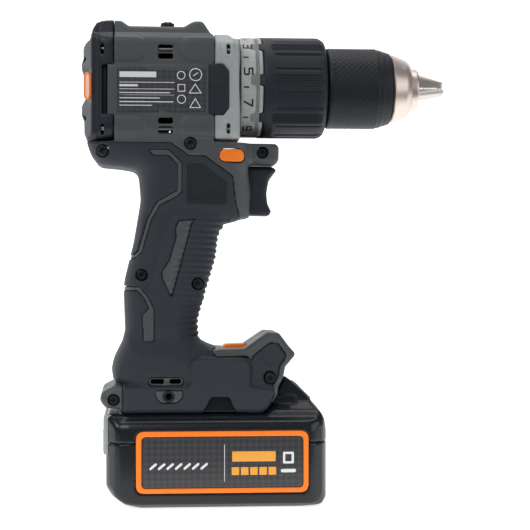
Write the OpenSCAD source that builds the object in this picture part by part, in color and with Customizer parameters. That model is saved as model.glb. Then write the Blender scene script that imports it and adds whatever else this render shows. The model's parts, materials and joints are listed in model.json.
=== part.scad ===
/* [Pack] */
// Length of the battery pack, front to back
pack_l = 117; // [112:1:145]
// Width of the battery pack
pack_w = 75; // [72:1:92]
// Height of the seam between the two halves of the pack
pack_seam_z = 33.5; // [28:0.5:36]

/* [Body] */
// Height of the chuck axis above the base of the pack
axis_z = 218; // [208:1:264]
// Width of the motor housing across both shells
barrel_w = 62; // [58:1:76]
// Width of the grip
grip_w = 37; // [34:1:46]
// Thickness of the soft grip skin
skin_t = 1.6; // [1.2:0.1:2.4]
// Travel of the trigger
trigger_travel = 6; // [4:0.5:7]

/* [Clutch] */
// Outer diameter of the clutch collar
collar_d = 53.2; // [52:0.2:66]
// Number of torque settings on the dial
clutch_steps = 17; // [12:1:17]

/* [Chuck] */
// Outer diameter of the chuck sleeve
chuck_d = 42; // [40:0.5:52]
// Largest bit that the jaws take
bit_d = 13; // [8:0.5:13]
// Slope of the jaws against the chuck axis
jaw_slope = 16.5; // [15:0.5:17]
// Radius of one jaw
jaw_r = 3.2; // [2.8:0.1:3.3]

/* [Hidden] */
$fn = 64;

// Colours
housing_grey = [0.30, 0.32, 0.33];
rubber_dark = [0.18, 0.20, 0.23];
cap_dark = [0.15, 0.17, 0.20];
case_grey = [0.54, 0.56, 0.57];
ring_grey = [0.59, 0.60, 0.60];
sleeve_dark = [0.17, 0.19, 0.21];
orange = [1.00, 0.51, 0.15];
pack_black = [0.07, 0.09, 0.13];
bright_steel = [0.74, 0.69, 0.66];
dark_steel = [0.45, 0.45, 0.46];
copper = [0.72, 0.42, 0.24];
brass = [0.78, 0.64, 0.34];
board_green = [0.10, 0.32, 0.20];

// Everything scales with one of these, so that a changed size carries its neighbours along
k_pack = pack_l / 117;
k_wide = pack_w / 75;
k_barrel = barrel_w / 62;
k_chuck = chuck_d / 42;
lift = axis_z - 218;
grip_low_z = 85;
grip_high_z = 145;

// Clearances
run = 0.05;
gap = 0.3;
collar_gap = 0.9;

// Barrel
barrel_r = barrel_w / 2;
bore_r = barrel_r - 4;
barrel_top = axis_z + barrel_r + 0.2;
barrel_under = axis_z - barrel_r;
cap_x = -57;
case_back_x = -2.3;
case_front_x = 13.3;

// Direction bar, and the floor of the front case above it
bar_z0 = up(177.3);
bar_z1 = up(183.8);
case_floor = max(barrel_under + 2.2, bar_z1 + 5.4);

// Motor
stator_r = bore_r - 3;
rotor_r = 13.6 * k_barrel;
shaft_r = 2.5;

// Gears: both stages share one tooth size
gear_m = 0.72 * k_barrel;
sun_n = 12;
planet_n = 15;
ring_n = 42;
planet_d = gear_m * (sun_n + planet_n) / 2;
tooth_play = 0.12;
ring_tip_r = gear_m * (ring_n / 2 - 0.8);
ring_out_r = 17.2 * k_barrel;
pin_r = 1.5;

// Gear case, clutch and collar
spigot_r = 20.5 * k_barrel;
neck_r = 15.5 * k_barrel;
bearing_r = 13 * k_barrel;
spindle_r = 6;
collar_r = max(collar_d / 2, spigot_r + 6.1);
collar_in_r = spigot_r + 0.5;
dial_turn = 320;
collar_x0 = 13.6;
collar_x1 = 58;
shift_travel = 6;

// Chuck
chuck_x0 = 58.4;
nose_x = 107.4;
tip_x = 121.5;
tip_r = 0.6;
jaw_len = 34.5 / cos(jaw_slope);
sleeve_in_r = 19.6 * k_chuck;
jaw_back_r = min(12.8, sleeve_in_r - gap - bit_d / 2);
hub_r = 13.4 * k_chuck;

// Foot and pack
foot_half = 33 * k_wide;
rail_half = 25.2 * k_wide;
cell_r = 9.1;
cell_l = 65;
cell_pitch = 18.6;

// A height on the grip moves with the barrel above grip_high_z and stays with the foot below grip_low_z
function up(z) = z + lift * min(1, max(0, (z - grip_low_z) / (grip_high_z - grip_low_z)));
function px(x) = x * k_pack;
function wy(y) = y * k_wide;

// Screws that close the two shells: x, z, depth of the head below the parting plane
case_screw_list = [
    [-59.3, axis_z - 35.1, 14], [-14.5, axis_z - 31.4, 22], [23.5, up(182.7), 10],
    [px(-39.4), up(118.8), 12], [px(-10.5), up(114.3), 12], [px(-53.7), 55.2, 26 * k_wide], [px(26),
        66, 28 * k_wide]
];

// ---- Shared shapes ----

// A solid rod round the chuck axis
module rod(x0, x1, r) {
    translate([x0, 0, axis_z]) rotate([0, 90, 0]) cylinder(h = x1 - x0, r = r);
}

// A tube round the chuck axis
module tube(x0, x1, r_out, r_in) {
    difference() {
        rod(x0, x1, r_out);
        rod(x0 - 1, x1 + 1, r_in);
    }
}

// A body turned round the chuck axis from points [x, r]
module turned(points) {
    translate([0, 0, axis_z]) rotate([0, 90, 0]) rotate_extrude() polygon([for (p = points) [p[1], p[0]]]);
}

// A side outline of [x, z] points given a width along Y
module side(points, y0, y1) {
    translate([0, y1, 0]) rotate([90, 0, 0]) linear_extrude(y1 - y0) polygon(points);
}

// An outline of [y, z] points drawn out along X
module across(points, x0, x1) {
    translate([x0, 0, 0]) rotate([90, 0, 90]) linear_extrude(x1 - x0) polygon(points);
}

// A rod along Y
module pin_y(x, z, y0, y1, r) {
    translate([x, y1, z]) rotate([90, 0, 0]) cylinder(h = y1 - y0, r = r);
}

module box(x0, x1, y0, y1, z0, z1) {
    translate([x0, y0, z0]) cube([x1 - x0, y1 - y0, z1 - z0]);
}

// Points of a round-cornered rectangle
function rounded(x0, x1, y0, y1, r, n = 6) = [
    for (c = [[x1 - r, y1 - r, 0], [x0 + r, y1 - r, 90], [x0 + r, y0 + r, 180], [x1 - r, y0 + r, 270]],
         i = [0:n]) [c[0] + r * cos(c[2] + 90 * i / n), c[1] + r * sin(c[2] + 90 * i / n)]
];

// Half of the model: side -1 is the right shell, 1 the left
module half_space(s) {
    box(-120 * k_pack, 160, s > 0 ? 0 : -60 * k_wide, s > 0 ? 60 * k_wide : 0, -10, axis_z + 60);
}

// ---- Gear teeth ----

function involute(a) = tan(a) * 180 / PI - a;
function tooth_half(n, r, play) =
    let (base = n * gear_m / 2 * cos(20), a = r > base ? acos(base / r) : 0)
    (PI * gear_m / 2 - play) / (n * gear_m) * 180 / PI + involute(20) - involute(a);
function polar(r, a) = [r * cos(a), r * sin(a)];

// Outline of n involute teeth between two radii; a negative play gives the spaces of a ring gear
function gear_outline(n, r_lo, r_hi, play) = [
    for (k = [0:n - 1], i = [0:7])
        let (r = r_lo + (r_hi - r_lo) * (i < 4 ? i : 7 - i) / 3, h = tooth_half(n, r, play))
        polar(r, 360 * k / n + (i < 4 ? -h : h))
];

module gear_2d(n) {
    polygon(gear_outline(n, gear_m * (n / 2 - 1.15), gear_m * (n / 2 + 0.8), tooth_play));
}

module gear_rod(x0, x1, n) {
    translate([x0, 0, axis_z]) rotate([0, 90, 0]) linear_extrude(x1 - x0) gear_2d(n);
}

module ring_tooth_rod(x0, x1) {
    translate([x0, 0, axis_z]) rotate([0, 90, 0]) linear_extrude(x1 - x0)
        polygon(gear_outline(ring_n, ring_tip_r, gear_m * (ring_n / 2 + 1.15), -tooth_play));
}

// One planet of a stage: k = 0, 1, 2 at 120 degrees round the sun
module planet(x0, x1, k) {
    color(dark_steel) translate([x0, 0, axis_z]) rotate([0, 90, 0]) rotate([0, 0, 120 * k])
        translate([planet_d, 0, 0])
        difference() {
            linear_extrude(x1 - x0) gear_2d(planet_n);
            translate([0, 0, -1]) cylinder(h = x1 - x0 + 2, r = pin_r + run);
        }
}

// The three planet pins of a carrier
module planet_pins(x0, x1) {
    for (k = [0:2]) translate([x0, 0, axis_z]) rotate([0, 90, 0]) rotate([0, 0, 120 * k])
        translate([planet_d, 0, 0]) cylinder(h = x1 - x0, r = pin_r);
}

// ---- Body shells ----

// Section of the barrel across the chuck axis, drawn in by inset
function barrel_section(inset) =
    rounded(-barrel_r + inset, barrel_r - inset, barrel_under + inset, barrel_top - inset,
        15 * k_barrel - inset);

// Side outline of the barrel, from the back of the cap to the front of the shells
barrel_side = [
    [-70.8, axis_z - 17], [-70.8, axis_z + 12.6], [-69.4, axis_z + 21], [-65.7, barrel_top - 6],
        [-61, barrel_top],
    [case_front_x, barrel_top], [case_front_x, barrel_under], [-60, barrel_under], [-66, axis_z - 28],
    [-68.3, axis_z - 26]
];

// Plan outline that rounds the back of the barrel
barrel_plan = [
    [-70.8, -15 * k_barrel], [-69.2, -23 * k_barrel], [-65, -28.5 * k_barrel], [-58, -barrel_r],
        [20, -barrel_r],
    [20, barrel_r], [-58, barrel_r], [-65, 28.5 * k_barrel], [-69.2, 23 * k_barrel], [-70.8, 15 * k_barrel]
];

module barrel_form() {
    intersection() {
        across(barrel_section(0), -75, case_front_x);
        side(barrel_side, -barrel_r, barrel_r);
        translate([0, 0, barrel_under - 1]) linear_extrude(barrel_w + 4) polygon(barrel_plan);
    }
}

// Levels of the grip: z, back x, front x, half width
grip_levels = [
    [70, px(-51), px(0), grip_w / 2 + 4], [80, px(-50), px(-3), grip_w / 2 + 1], [88, px(-48.2),
        px(-9), grip_w / 2 - 1],
    [97, px(-48.3), px(-9.3), grip_w / 2 - 0.5], [up(106), px(-48.6), px(-7.4), grip_w / 2],
    [up(116), px(-48.4), px(-3.7), grip_w / 2 + 0.3], [up(125), px(-47.2), px(-1.4), grip_w / 2 + 0.3],
    [up(134), px(-44.8), px(0), grip_w / 2], [up(143), px(-42.2), px(2.5), grip_w / 2],
    [up(148.5), px(-41), 13, grip_w / 2 - 0.5], [up(155), px(-40.2), 14.5, grip_w / 2],
    [up(164), px(-40.4), 15, grip_w / 2 + 2], [up(171), px(-42), 15.3, grip_w / 2 + 4],
    [up(176), px(-52), 15.5, grip_w / 2 + 5], [up(181), px(-63.5), 15.6, grip_w / 2 + 6],
    [up(187), px(-66), 15.6, grip_w / 2 + 7], [up(193), px(-66), 15.6, grip_w / 2 + 7]
];
grip_sides = 24;

// One ring of the grip: a rounded oblong, drawn in by inset
function grip_ring(level, inset) =
    let (xc = (level[1] + level[2]) / 2, a = (level[2] - level[1]) / 2 - inset, b = level[3] - inset)
    [for (i = [0:grip_sides - 1])
        let (t = 360 * (i + 0.5) / grip_sides, c = cos(t), s = sin(t))
        [xc + a * sign(c) * pow(abs(c), 0.72), b * sign(s) * pow(abs(s), 0.62), level[0]]];

// The grip from the foot to the barrel as one closed skin of rings
module grip_form(inset, first = 0) {
    last = len(grip_levels) - 1;
    rings = last - first;
    n = grip_sides;
    polyhedron(
        points = [for (j = [first:last]) each grip_ring(grip_levels[j], inset)],
        faces = concat(
            [[for (i = [0:n - 1]) i]],
            [for (j = [0:rings - 1],
                i = [0:n - 1]) [j * n + i, (j + 1) * n + i, (j + 1) * n + (i + 1) % n]],
            [for (j = [0:rings - 1],
                i = [0:n - 1]) [j * n + i, (j + 1) * n + (i + 1) % n, j * n + (i + 1) % n]],
            [[for (i = [n - 1:-1:0]) rings * n + i]]
        )
    );
}

// Guard over the trigger finger
guard_side = [
    [10, up(176.2)], [31.5, up(176.2)], [32.9, up(178)], [32.9, up(185.5)], [30, up(188)],
        [24, up(189.2)], [10, up(190.5)]
];
module guard_form(inset = 0) {
    intersection() {
        side(guard_side, -20 + inset, 20 - inset);
        translate([0, 0, up(170)]) linear_extrude(30)
            polygon(rounded(-10, 33 - inset, -18.5 + inset, 18.5 - inset, 9));
    }
}

// Foot that carries the rails of the pack
foot_side = [
    [px(-49.7), 48.6], [px(24), 48.6], [px(25), 51], [px(33.2), 64.6], [px(36.2), 66], [px(37.7), 72.5],
    [px(41.2), 76.6], [px(40), 79.3], [px(33.9), 87], [px(31.9), 88.7], [px(27.1), 89.1], [px(23), 86.8],
    [px(12.9), 81.7], [px(-52.6), 79], [px(-54.2), 70], [px(-52.1), 64], [px(-59.5), 62.5], [px(-59.5), 52]
];
module foot_form() {
    intersection() {
        side(foot_side, -foot_half, foot_half);
        translate([0, 0, 40]) linear_extrude(60)
            polygon(rounded(px(-59.5), px(41.2), -foot_half, foot_half, 9));
        across([
            [-foot_half, 40], [foot_half, 40], [foot_half, 66], [foot_half - 3, 74], [wy(21),
                84], [wy(14), 92],
            [-wy(14), 92], [-wy(21), 84], [-foot_half + 3, 74], [-foot_half, 66]
        ], px(-60), px(42));
    }
}

// Space for the pack's rail head: wide above, narrow between the two lips
module rail_space() {
    across([
        [-wy(21), 40], [wy(21), 40], [wy(21),
            51.8], [rail_half, 51.8], [rail_half, 61.5], [-rail_half, 61.5],
        [-rail_half, 51.8], [-wy(21), 51.8]
    ], px(-46), px(60));
}

// Everything that is hollow inside the two shells
module shell_hollow() {
    rod(cap_x - 1, case_front_x + 1, bore_r);
    intersection() {
        grip_form(skin_t + 2.6);
        box(-80 * k_pack, 60, -40, 40, 66, axis_z - bore_r + 6);
        box(-36 * k_pack, 60, -40, 40, 0, axis_z);
    }
    box(px(-44), px(21), -wy(27), wy(27), 64, 75);
    box(px(19), px(34), -wy(11.5), wy(11.5), 69, 76);
    rail_space();
}

// Ribs that hold the stator and the gear case
module shell_ribs() {
    for (x = [-46, -30]) tube(x, x + 2.5, bore_r + 1, stator_r + 0.1);
    tube(-17, -14.5, bore_r + 1, 22.6 * k_barrel);
}

// One shell without its bosses: barrel, inset grip, foot and guard
module shell(s) {
    color(housing_grey) difference() {
        union() {
            difference() {
                intersection() {
                    union() {
                        barrel_form();
                        grip_form(skin_t);
                        foot_form();
                        guard_form(skin_t);
                    }
                    half_space(s);
                }
                shell_hollow();
                rear_cap_space();
                gear_case_space();
            }
            intersection() {
                shell_ribs();
                half_space(s);
            }
            shell_bosses(s);
        }
        shell_openings(s);
    }
}

// Bosses for the case screws, from the wall to the parting plane
module shell_bosses(s) {
    for (p = case_screw_list)
        if (s < 0) pin_y(p[0], p[1], -p[2], 0, 3.4);
        else pin_y(p[0], p[1], 0, p[2], 3.4);
}

// Everything that is cut through one shell
module shell_openings(s) {
    // Screw holes, with a counterbore in the right shell and a blind pilot in the left
    for (p = case_screw_list) {
        pin_y(p[0], p[1], -40 * k_wide, s < 0 ? 1 : p[2] - 2, s < 0 ? 1.75 : 1.6);
        if (s < 0) pin_y(p[0], p[1], -45 * k_wide, -p[2] + 3, 3.2);
    }
    // Trigger pocket, with the slot it moves in
    box(3 - trigger_travel, 20, -9.8, 9.8, up(150.6), up(176.2));
    box(13, 40, -9.8, 9.8, up(147), up(176.2));
    // Direction bar, and room for the collar above the guard
    bar_way();
    collar_way();
    // Rating plate and side tab recesses
    box(-52.4, -5.7, s < 0 ? -60 : barrel_r - 0.9, s < 0
        ? -barrel_r + 0.9 : 60, axis_z - 17.1, axis_z + 7.8);
    side(side_tab, s < 0 ? -60 : barrel_r - 0.9, s < 0 ? -barrel_r + 0.9 : 60);
    // Way of the flat fork past the rib
    box(-24, 14, -2.2, 2.2, axis_z + bore_r - 2.6, axis_z + bore_r - 0.5);
    // Outlet slots, two pairs above and two below the plate
    for (z = [axis_z - 25.5, axis_z - 20.7, axis_z + 12.3, axis_z + 17])
        box(-30.5, -23.5, s < 0 ? -60 : 10, s < 0 ? -10 : 60, z - 1.1, z + 1.1);
    // Foot vents and the seat of the belt hook insert
    for (z = [64.4, 68]) box(px(-34.5), px(-18.5), s < 0 ? -60 : 10, s < 0 ? -10 : 60, z, z + 1.6);
    pin_y(px(-25.8), 56.9, s < 0 ? -60 : foot_half - 6.1, s < 0 ? -foot_half + 6.1 : 60, 3.05);
    // Speed knob slot and light switch slot
    box(-30.5, -22.5 + shift_travel + 1.2, -6.5, 6.5, axis_z + 20, axis_z + 40);
    box(px(2.2), px(16.4), -9, 9, 76, 90);
    // Lamp window on the slope of the foot
    lamp_pocket();
}

// The lamp's sloping face: x up the slope, z out of it
lamp_foot = [px(41.2), 76.6];
lamp_tilt = 90 - atan2(87 - lamp_foot[1], lamp_foot[0] - px(33.9));
module lamp_place() {
    translate([lamp_foot[0],
        0, lamp_foot[1]]) rotate([0, 90 - lamp_tilt, 0]) rotate([0, 0, 180]) children();
}
module lamp_pocket() {
    lamp_place() translate([1.2, -11, -5]) cube([10.2, 22, 20]);
}

module housing_right() { shell(-1); }
module housing_left() { shell(1); }

// Soft skin over the grip and the trigger guard, below the seam with the hard shells
seam_side = [
    [-80 * k_pack, up(187)], [-24.7, up(187.2)], [-15.2, up(180.6)], [-6.7, up(180.3)], [-1, up(176)],
    [-1, up(191)], [50, up(191)], [50, 60], [-80 * k_pack, 60]
];
module overmould(s) {
    color(rubber_dark) difference() {
        intersection() {
            union() {
                grip_form(0);
                guard_form(0);
            }
            side(seam_side, -40, 40);
            half_space(s);
        }
        grip_form(skin_t);
        guard_form(skin_t);
        box(-80 * k_pack, 60, -60, 60, barrel_under - 0.5, axis_z);
        barrel_form();
        foot_form();
        gear_case_space();
        box(10, 40, -9.8, 9.8, up(147), up(176.3));
        bar_way();
        collar_way();
        for (p = case_screw_list) pin_y(p[0], p[1], -60, s < 0 ? 0 : p[2], 3.5);
        side(inlay_side, -60, 60);
        lamp_pocket();
    }
}
module overmould_right() { overmould(-1); }
module overmould_left() { overmould(1); }

// Hard inlay let into the side of the grip
inlay_side = [
    [px(-20.6), up(147.5)], [px(-12), up(147.8)], [px(-14.5), up(142)], [px(-23.5), up(109)],
    [px(-29), up(118)], [px(-25), up(127)], [px(-21.5), up(139)]
];
module grip_inlays() {
    color(housing_grey) for (s = [-1, 1]) intersection() {
        difference() {
            grip_form(0.2);
            grip_form(skin_t);
        }
        side(inlay_side, -40, 40);
        half_space(s);
    }
}

// ---- Rear cap and front case ----

module rear_cap_space() {
    box(-90, cap_x, -60, 60, axis_z - 26.5 * k_barrel, axis_z + 60);
}

// Cap that closes the back of the barrel and carries the rear bearing
module rear_cap() {
    color(cap_dark) difference() {
        intersection() {
            barrel_form();
            box(-90, cap_x - 0.1, -60, 60, axis_z - 26.4 * k_barrel, axis_z + 60);
        }
        difference() {
            intersection() {
                turned([
                    [-66.8, 0], [-66.8, 20 * k_barrel], [-63.5, 24.5 * k_barrel], [cap_x + 1, 24.5 * k_barrel],
                    [cap_x + 1, 0]
                ]);
                box(-68, 0, -40, 40, axis_z - 23 * k_barrel, axis_z + 40);
            }
            rod(-69, -60, 9.5);
        }
        rod(-66.1, -50, 6.6);
        for (s = [-1, 1], z = [axis_z - 22, axis_z + 14])
            translate([-60.6, s * 30 * k_barrel - 15, z]) cube([1.6, 30, 4.5]);
        box(-59.6, -57.8, -60, 60, axis_z - 12, axis_z + 7);
        // Hollow across the back, and the seats of the badges
        pin_y(-85.4, axis_z - 1.6, -40, 40, 16.8);
        for (s = [-1, 1]) badge_place(s) badge_oval(2.75, 7.15, -0.5, 4);
    }
}

// Plain oval plate at the back
// An upright oval lies on each bevel between the back and the sides of the cap: x out of the bevel
badge_turn = atan2(69.2 - 65, (28.5 - 23) * k_barrel);
module badge_place(s) {
    translate([-67.1, s * 25.75 * k_barrel, axis_z - 1.6]) rotate([0, 0, 180 - s * badge_turn]) children();
}
module badge_oval(half_w, half_h, x0, x1) {
    translate([x0, 0, 0]) rotate([90, 0, 90])
        linear_extrude(x1 - x0) polygon(rounded(-half_w, half_w, -half_h, half_h, half_w));
}
module rear_badge() {
    color(orange) for (s = [-1, 1]) badge_place(s) badge_oval(2.6, 7, -0.5, 0.4);
}

// Marking plates let into the sides of the barrel: plain, with notched ends
module rating_plates() {
    color(cap_dark) for (s = [-1, 1])
        difference() {
            box(-52.1, -6, s < 0 ? -barrel_r : barrel_r - 0.8, s < 0
                ? -barrel_r + 0.8 : barrel_r, axis_z - 16.8, axis_z + 7.5);
            for (x = [-40, -29, -18]) box(x, x + 5, -60, 60, axis_z - 18, axis_z - 16);
        }
}

side_tab = [[-5.3, axis_z - 16.7], [3, axis_z - 16.7], [4.5, axis_z - 14], [4.5, axis_z + 5.5],
    [3, axis_z + 8.6], [-5.3, axis_z + 8.6]];
module side_tabs() {
    color(cap_dark) for (s = [-1, 1])
        side(side_tab, s < 0 ? -barrel_r - 0.3 : barrel_r - 0.9, s < 0 ? -barrel_r + 0.9 : barrel_r + 0.3);
}

module collar_way() {
    rod(case_front_x, collar_x1 + gap, collar_r + collar_gap);
}
module gear_case_space() {
    box(case_back_x, case_front_x + 10, -60, 60, case_floor - 0.2, axis_z + 60);
}

// Front case: the visible block, the spigot round the gears and the neck round the spindle
module gear_case() {
    color(case_grey) difference() {
        union() {
            intersection() {
                across(barrel_section(1.5), case_back_x + 0.1, case_front_x);
                box(-10, case_front_x, -60, 60, case_floor, barrel_top - 2.7);
                turned([[-3, 0], [-3, 40 * k_barrel], [8.5, 40 * k_barrel],
                    [case_front_x, 29 * k_barrel], [case_front_x, 0]]);
            }
            rod(case_front_x - 1, 27, spigot_r);
            rod(26, 54.2, neck_r);
        }
        rod(case_back_x - 1, 23, ring_out_r + 0.05);
        rod(22, 52, bearing_r - 3);
        rod(38, 60, bearing_r + 0.05);
        // Seats of the side tabs
        side(side_tab, -60, -barrel_r + 0.9);
        side(side_tab, barrel_r - 0.9, 60);
        // Way of the shift fork
        box(case_back_x - 1, 12.8, -2.6, 2.6, axis_z + 10, axis_z + bore_r - 0.4);
        box(0, 24.5, -2.6, 2.6, axis_z + 10, axis_z + ring_out_r + 1.7);
        // Holes of the clutch balls
        for (k = [0:5])
            rotate_x(60 * k + 30)
                translate([20, 0, 15.5 * k_barrel]) rotate([0, 90, 0]) cylinder(h = 20, r = 1.65);
        // Screw seats on the sides
        for (s = [-1, 1], z = [axis_z - 24, axis_z + 15])
            translate([6, s * (barrel_r + 4), z]) rotate([s * 90, 0, 0]) cylinder(h = 10, r = 2.6);
        // Groove of the snap ring
        tube(52, 53.4, neck_r + 1, neck_r - 1);
    }
}

// Turns children about the chuck axis
module rotate_x(a) {
    translate([0, 0, axis_z]) rotate([a, 0, 0]) children();
}

// Screws that close the shells, one solid each
module case_screws() {
    color(dark_steel) for (p = case_screw_list) difference() {
        union() {
            pin_y(p[0], p[1], -p[2] + 0.8, -p[2] + 2.9, 2.9);
            pin_y(p[0], p[1], -p[2] + 2, p[2] - 2.5, 1.5);
        }
        pin_y(p[0], p[1], -p[2] - 5, -p[2] + 1.9, 1.1);
    }
}

// Threaded brass inserts for a belt hook, one in each side of the foot
module hook_inserts() {
    color(brass) for (s = [-1, 1]) difference() {
        pin_y(px(-25.8), 56.9, s < 0 ? -foot_half : foot_half - 6, s < 0 ? -foot_half + 6 : foot_half, 3);
        pin_y(px(-25.8), 56.9, -60, 60, 1.65);
    }
}

// ---- Controls ----

// Trigger with its stem; it slides back into the switch
module trigger() {
    color(rubber_dark) union() {
        side([
            [5.5, up(152)], [15, up(151.2)], [28.6, up(150.9)], [28.9, up(152)], [26.7, up(158)],
                [27, up(165.9)],
            [31.4, up(173.4)], [31, up(175.6)], [5.5, up(175.6)]
        ], -9.4, 9.4);
        translate([-1.5, 0, up(164)]) rotate([0, 90, 0]) cylinder(h = 8, r = 3);
    }
}

module switch_module() {
    color(cap_dark) difference() {
        box(-25, 2.6 - trigger_travel, -10.5, 10.5, up(151), up(174));
        translate([-6 - trigger_travel, 0, up(164)]) rotate([0, 90, 0]) cylinder(h = 20, r = 3.3);
    }
}

// Bar that is pushed through the body to choose the direction of rotation
bar_half = grip_w / 2 + 7.4;
module direction_bar() {
    color(orange) side(rounded(0.5, 13.6, bar_z0, bar_z1, 3.2), -bar_half, bar_half);
}
module bar_way() {
    side(rounded(0.5 - gap, 13.6 + gap, bar_z0 - gap, bar_z1 + gap, 3.2 + gap), -60, 60);
}

module speed_knob() {
    color(sleeve_dark) union() {
        box(-29.3, -22.5, -5.8, 5.8, axis_z + bore_r - 1.5, axis_z + barrel_r + 2.6);
        for (x = [-27.5, -24.9]) box(x, x + 0.9, -5.8, 5.8, axis_z + barrel_r + 2, axis_z + barrel_r + 3.2);
    }
}

// Sliding ring gear with the flat fork that ties it to the knob
module shift_ring() {
    color(dark_steel) union() {
        difference() {
            rod(10, 16.6, ring_out_r - gap);
            ring_tooth_rod(9, 18);
        }
        box(3.6, 10.5, -1.6, 1.6, axis_z + ring_out_r - 0.5, axis_z + ring_out_r + 1);
        box(3.6, 6.4, -1.6, 1.6, axis_z + ring_out_r - 0.5, axis_z + bore_r - 0.9);
        box(-22.5, 6.4, -1.6, 1.6, axis_z + bore_r - 2, axis_z + bore_r - 0.9);
    }
}

module light_switch() {
    color(orange) union() {
        box(px(3), px(15.6), -5, 5, 79.5, 83.2);
        box(px(5), px(13.6), -3, 3, 77.5, 80);
    }
}

// ---- Motor ----

module stator() {
    color(dark_steel) difference() {
        rod(-51, -25, stator_r);
        rod(-52, -24, rotor_r + 0.6);
        for (k = [0:5]) rotate_x(60 * k)
            box(-52, -24, -4.6 * k_barrel, 4.6 * k_barrel, 15.6 * k_barrel, 20.5 * k_barrel);
    }
}

// Coils in the six slots, with the rings of wire at both ends
module windings() {
    color(copper) union() {
        for (k = [0:5]) rotate_x(60 * k)
            box(-53, -23, -4.4 * k_barrel, 4.4 * k_barrel, 15.8 * k_barrel, 20.3 * k_barrel);
        tube(-54.5, -51.1, 21.5 * k_barrel, 15 * k_barrel);
        tube(-24.9, -21.5, 21.5 * k_barrel, 15 * k_barrel);
    }
}

module hall_board() {
    color(board_green) tube(-56.6, -55.2, 21 * k_barrel, 8);
}

// Rotor shaft with its laminated core and the first sun gear
module rotor() {
    color(bright_steel) difference() {
        union() {
            rod(-65.6, -3, shaft_r);
            rod(-51, -25, rotor_r - 2);
            gear_rod(-3, 6.4, sun_n);
        }
        for (k = [0:3]) rotate_x(90 * k + 45) box(-52, -24, -1, 1, 5.5, 8.5);
    }
}

// Four curved magnets round the core
module magnets() {
    color(sleeve_dark) difference() {
        tube(-50.5, -25.5, rotor_r, rotor_r - 1.95);
        for (k = [0:1]) rotate_x(90 * k + 45) box(-52, -24, -0.8, 0.8, -20, 20);
    }
}

module fan() {
    color(sleeve_dark) union() {
        tube(-20.5, -13.5, 5, shaft_r + run);
        tube(-14.4, -13.5, 21.5 * k_barrel, 4);
        for (k = [0:11]) rotate_x(30 * k) rotate([0, 0, 20]) translate([-0.5, 0, 0])
            intersection() {
                box(-20, -12, 5, 6.2, 4, 21 * k_barrel);
                rotate([0, 0, -20]) box(-20.5, -13.6, -40, 40, 0, 40);
            }
    }
}

module motor_bearings() {
    color(bright_steel) for (x = [[-66, -61, 6.5], [-11.5, -6.5, 8]]) {
        tube(x[0], x[1], x[2], x[2] - 1.4);
        tube(x[0], x[1], 4.2, shaft_r + run);
        for (k = [0:6]) rotate_x(360 * k / 7)
            translate([(x[0] + x[1]) / 2, 0, (4.2 + x[2] - 1.4) / 2]) sphere(r = 0.35);
    }
}

// Plate between motor and gears, with the seat of the front bearing
module motor_plate() {
    color(case_grey) difference() {
        union() {
            rod(-4.6, case_back_x - 0.1, 24 * k_barrel);
            rod(-12, -4, 9.6);
        }
        rod(-13, -6.4, 8.05);
        rod(-8, 0, 5.6 * k_barrel);
        box(-8, 0, -3, 3, axis_z + 22, axis_z + 40);
    }
}

// ---- Gears ----

module ring_gear() {
    color(dark_steel) difference() {
        rod(-1.6, 7.2, ring_out_r);
        ring_tooth_rod(-3, 8);
        box(-3, 9, -2.6, 2.6, axis_z + ring_out_r - 0.9, axis_z + 30);
    }
}

module planet_1a() { planet(-0.8, 5.8, 0); }
module planet_1b() { planet(-0.8, 5.8, 1); }
module planet_1c() { planet(-0.8, 5.8, 2); }
module planet_2a() { planet(10.6, 16.6, 0); }
module planet_2b() { planet(10.6, 16.6, 1); }
module planet_2c() { planet(10.6, 16.6, 2); }

// First carrier with its pins and the second sun gear
module carrier() {
    color(dark_steel) union() {
        rod(7, 9.6, ring_tip_r - 0.5);
        planet_pins(-0.8, 7.5);
        gear_rod(9, 17, sun_n);
    }
}

// Spindle with the second carrier at its back and the chuck's thread at its front
module spindle() {
    color(bright_steel) difference() {
        union() {
            rod(17.6, 21.6, ring_tip_r - 0.5);
            planet_pins(10.6, 18);
            rod(21, 59, spindle_r);
            rod(58, 71.5, spindle_r + 0.15);
            rod(53.6, 56, spindle_r + 3);
        }
        rod(50, 80, 2.6);
    }
}

module spindle_bearing() {
    color(bright_steel) {
        tube(38.2, 51.5, bearing_r, bearing_r - 2);
        tube(38.2, 51.5, spindle_r + 1.8, spindle_r + run);
        for (k = [0:8], x = [41.5, 48]) rotate_x(40 * k)
            translate([x, 0, (bearing_r - 2 + spindle_r + 1.8) / 2])
                sphere(r = (bearing_r - spindle_r - 3.8) / 2 - 0.1);
    }
}

// ---- Clutch ----

module clutch_balls() {
    color(bright_steel) for (k = [0:5]) rotate_x(60 * k + 30)
        translate([25.6, 0, 15.5 * k_barrel]) sphere(r = 1.6);
}

module clutch_washer() {
    color(dark_steel) tube(27.3, 29, spigot_r - 0.4, neck_r + gap);
}

// Coil of round wire between the washer and the nut
coil_turns = 4;
coil_steps = 20;
coil_r = neck_r + 2.2;
wire_r = 1.2;
module clutch_spring() {
    n = 8;
    rings = coil_turns * coil_steps;
    x0 = 29.2 + wire_r;
    x1 = 43.8 - wire_r;
    color(bright_steel) translate([0, 0, axis_z]) polyhedron(
        points = [for (j = [0:rings], i = [0:n - 1])
            let (a = 360 * j / coil_steps, r = coil_r + wire_r * cos(45 * i))
            [x0 + (x1 - x0) * j / rings + wire_r * sin(45 * i), r * cos(a), r * sin(a)]],
        faces = concat(
            [[for (i = [n - 1:-1:0]) i]],
            [for (j = [0:rings - 1],
                i = [0:n - 1]) [j * n + i, j * n + (i + 1) % n, (j + 1) * n + (i + 1) % n]],
            [for (j = [0:rings - 1],
                i = [0:n - 1]) [j * n + i, (j + 1) * n + (i + 1) % n, (j + 1) * n + i]],
            [[for (i = [0:n - 1]) rings * n + i]]
        )
    );
}

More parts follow.
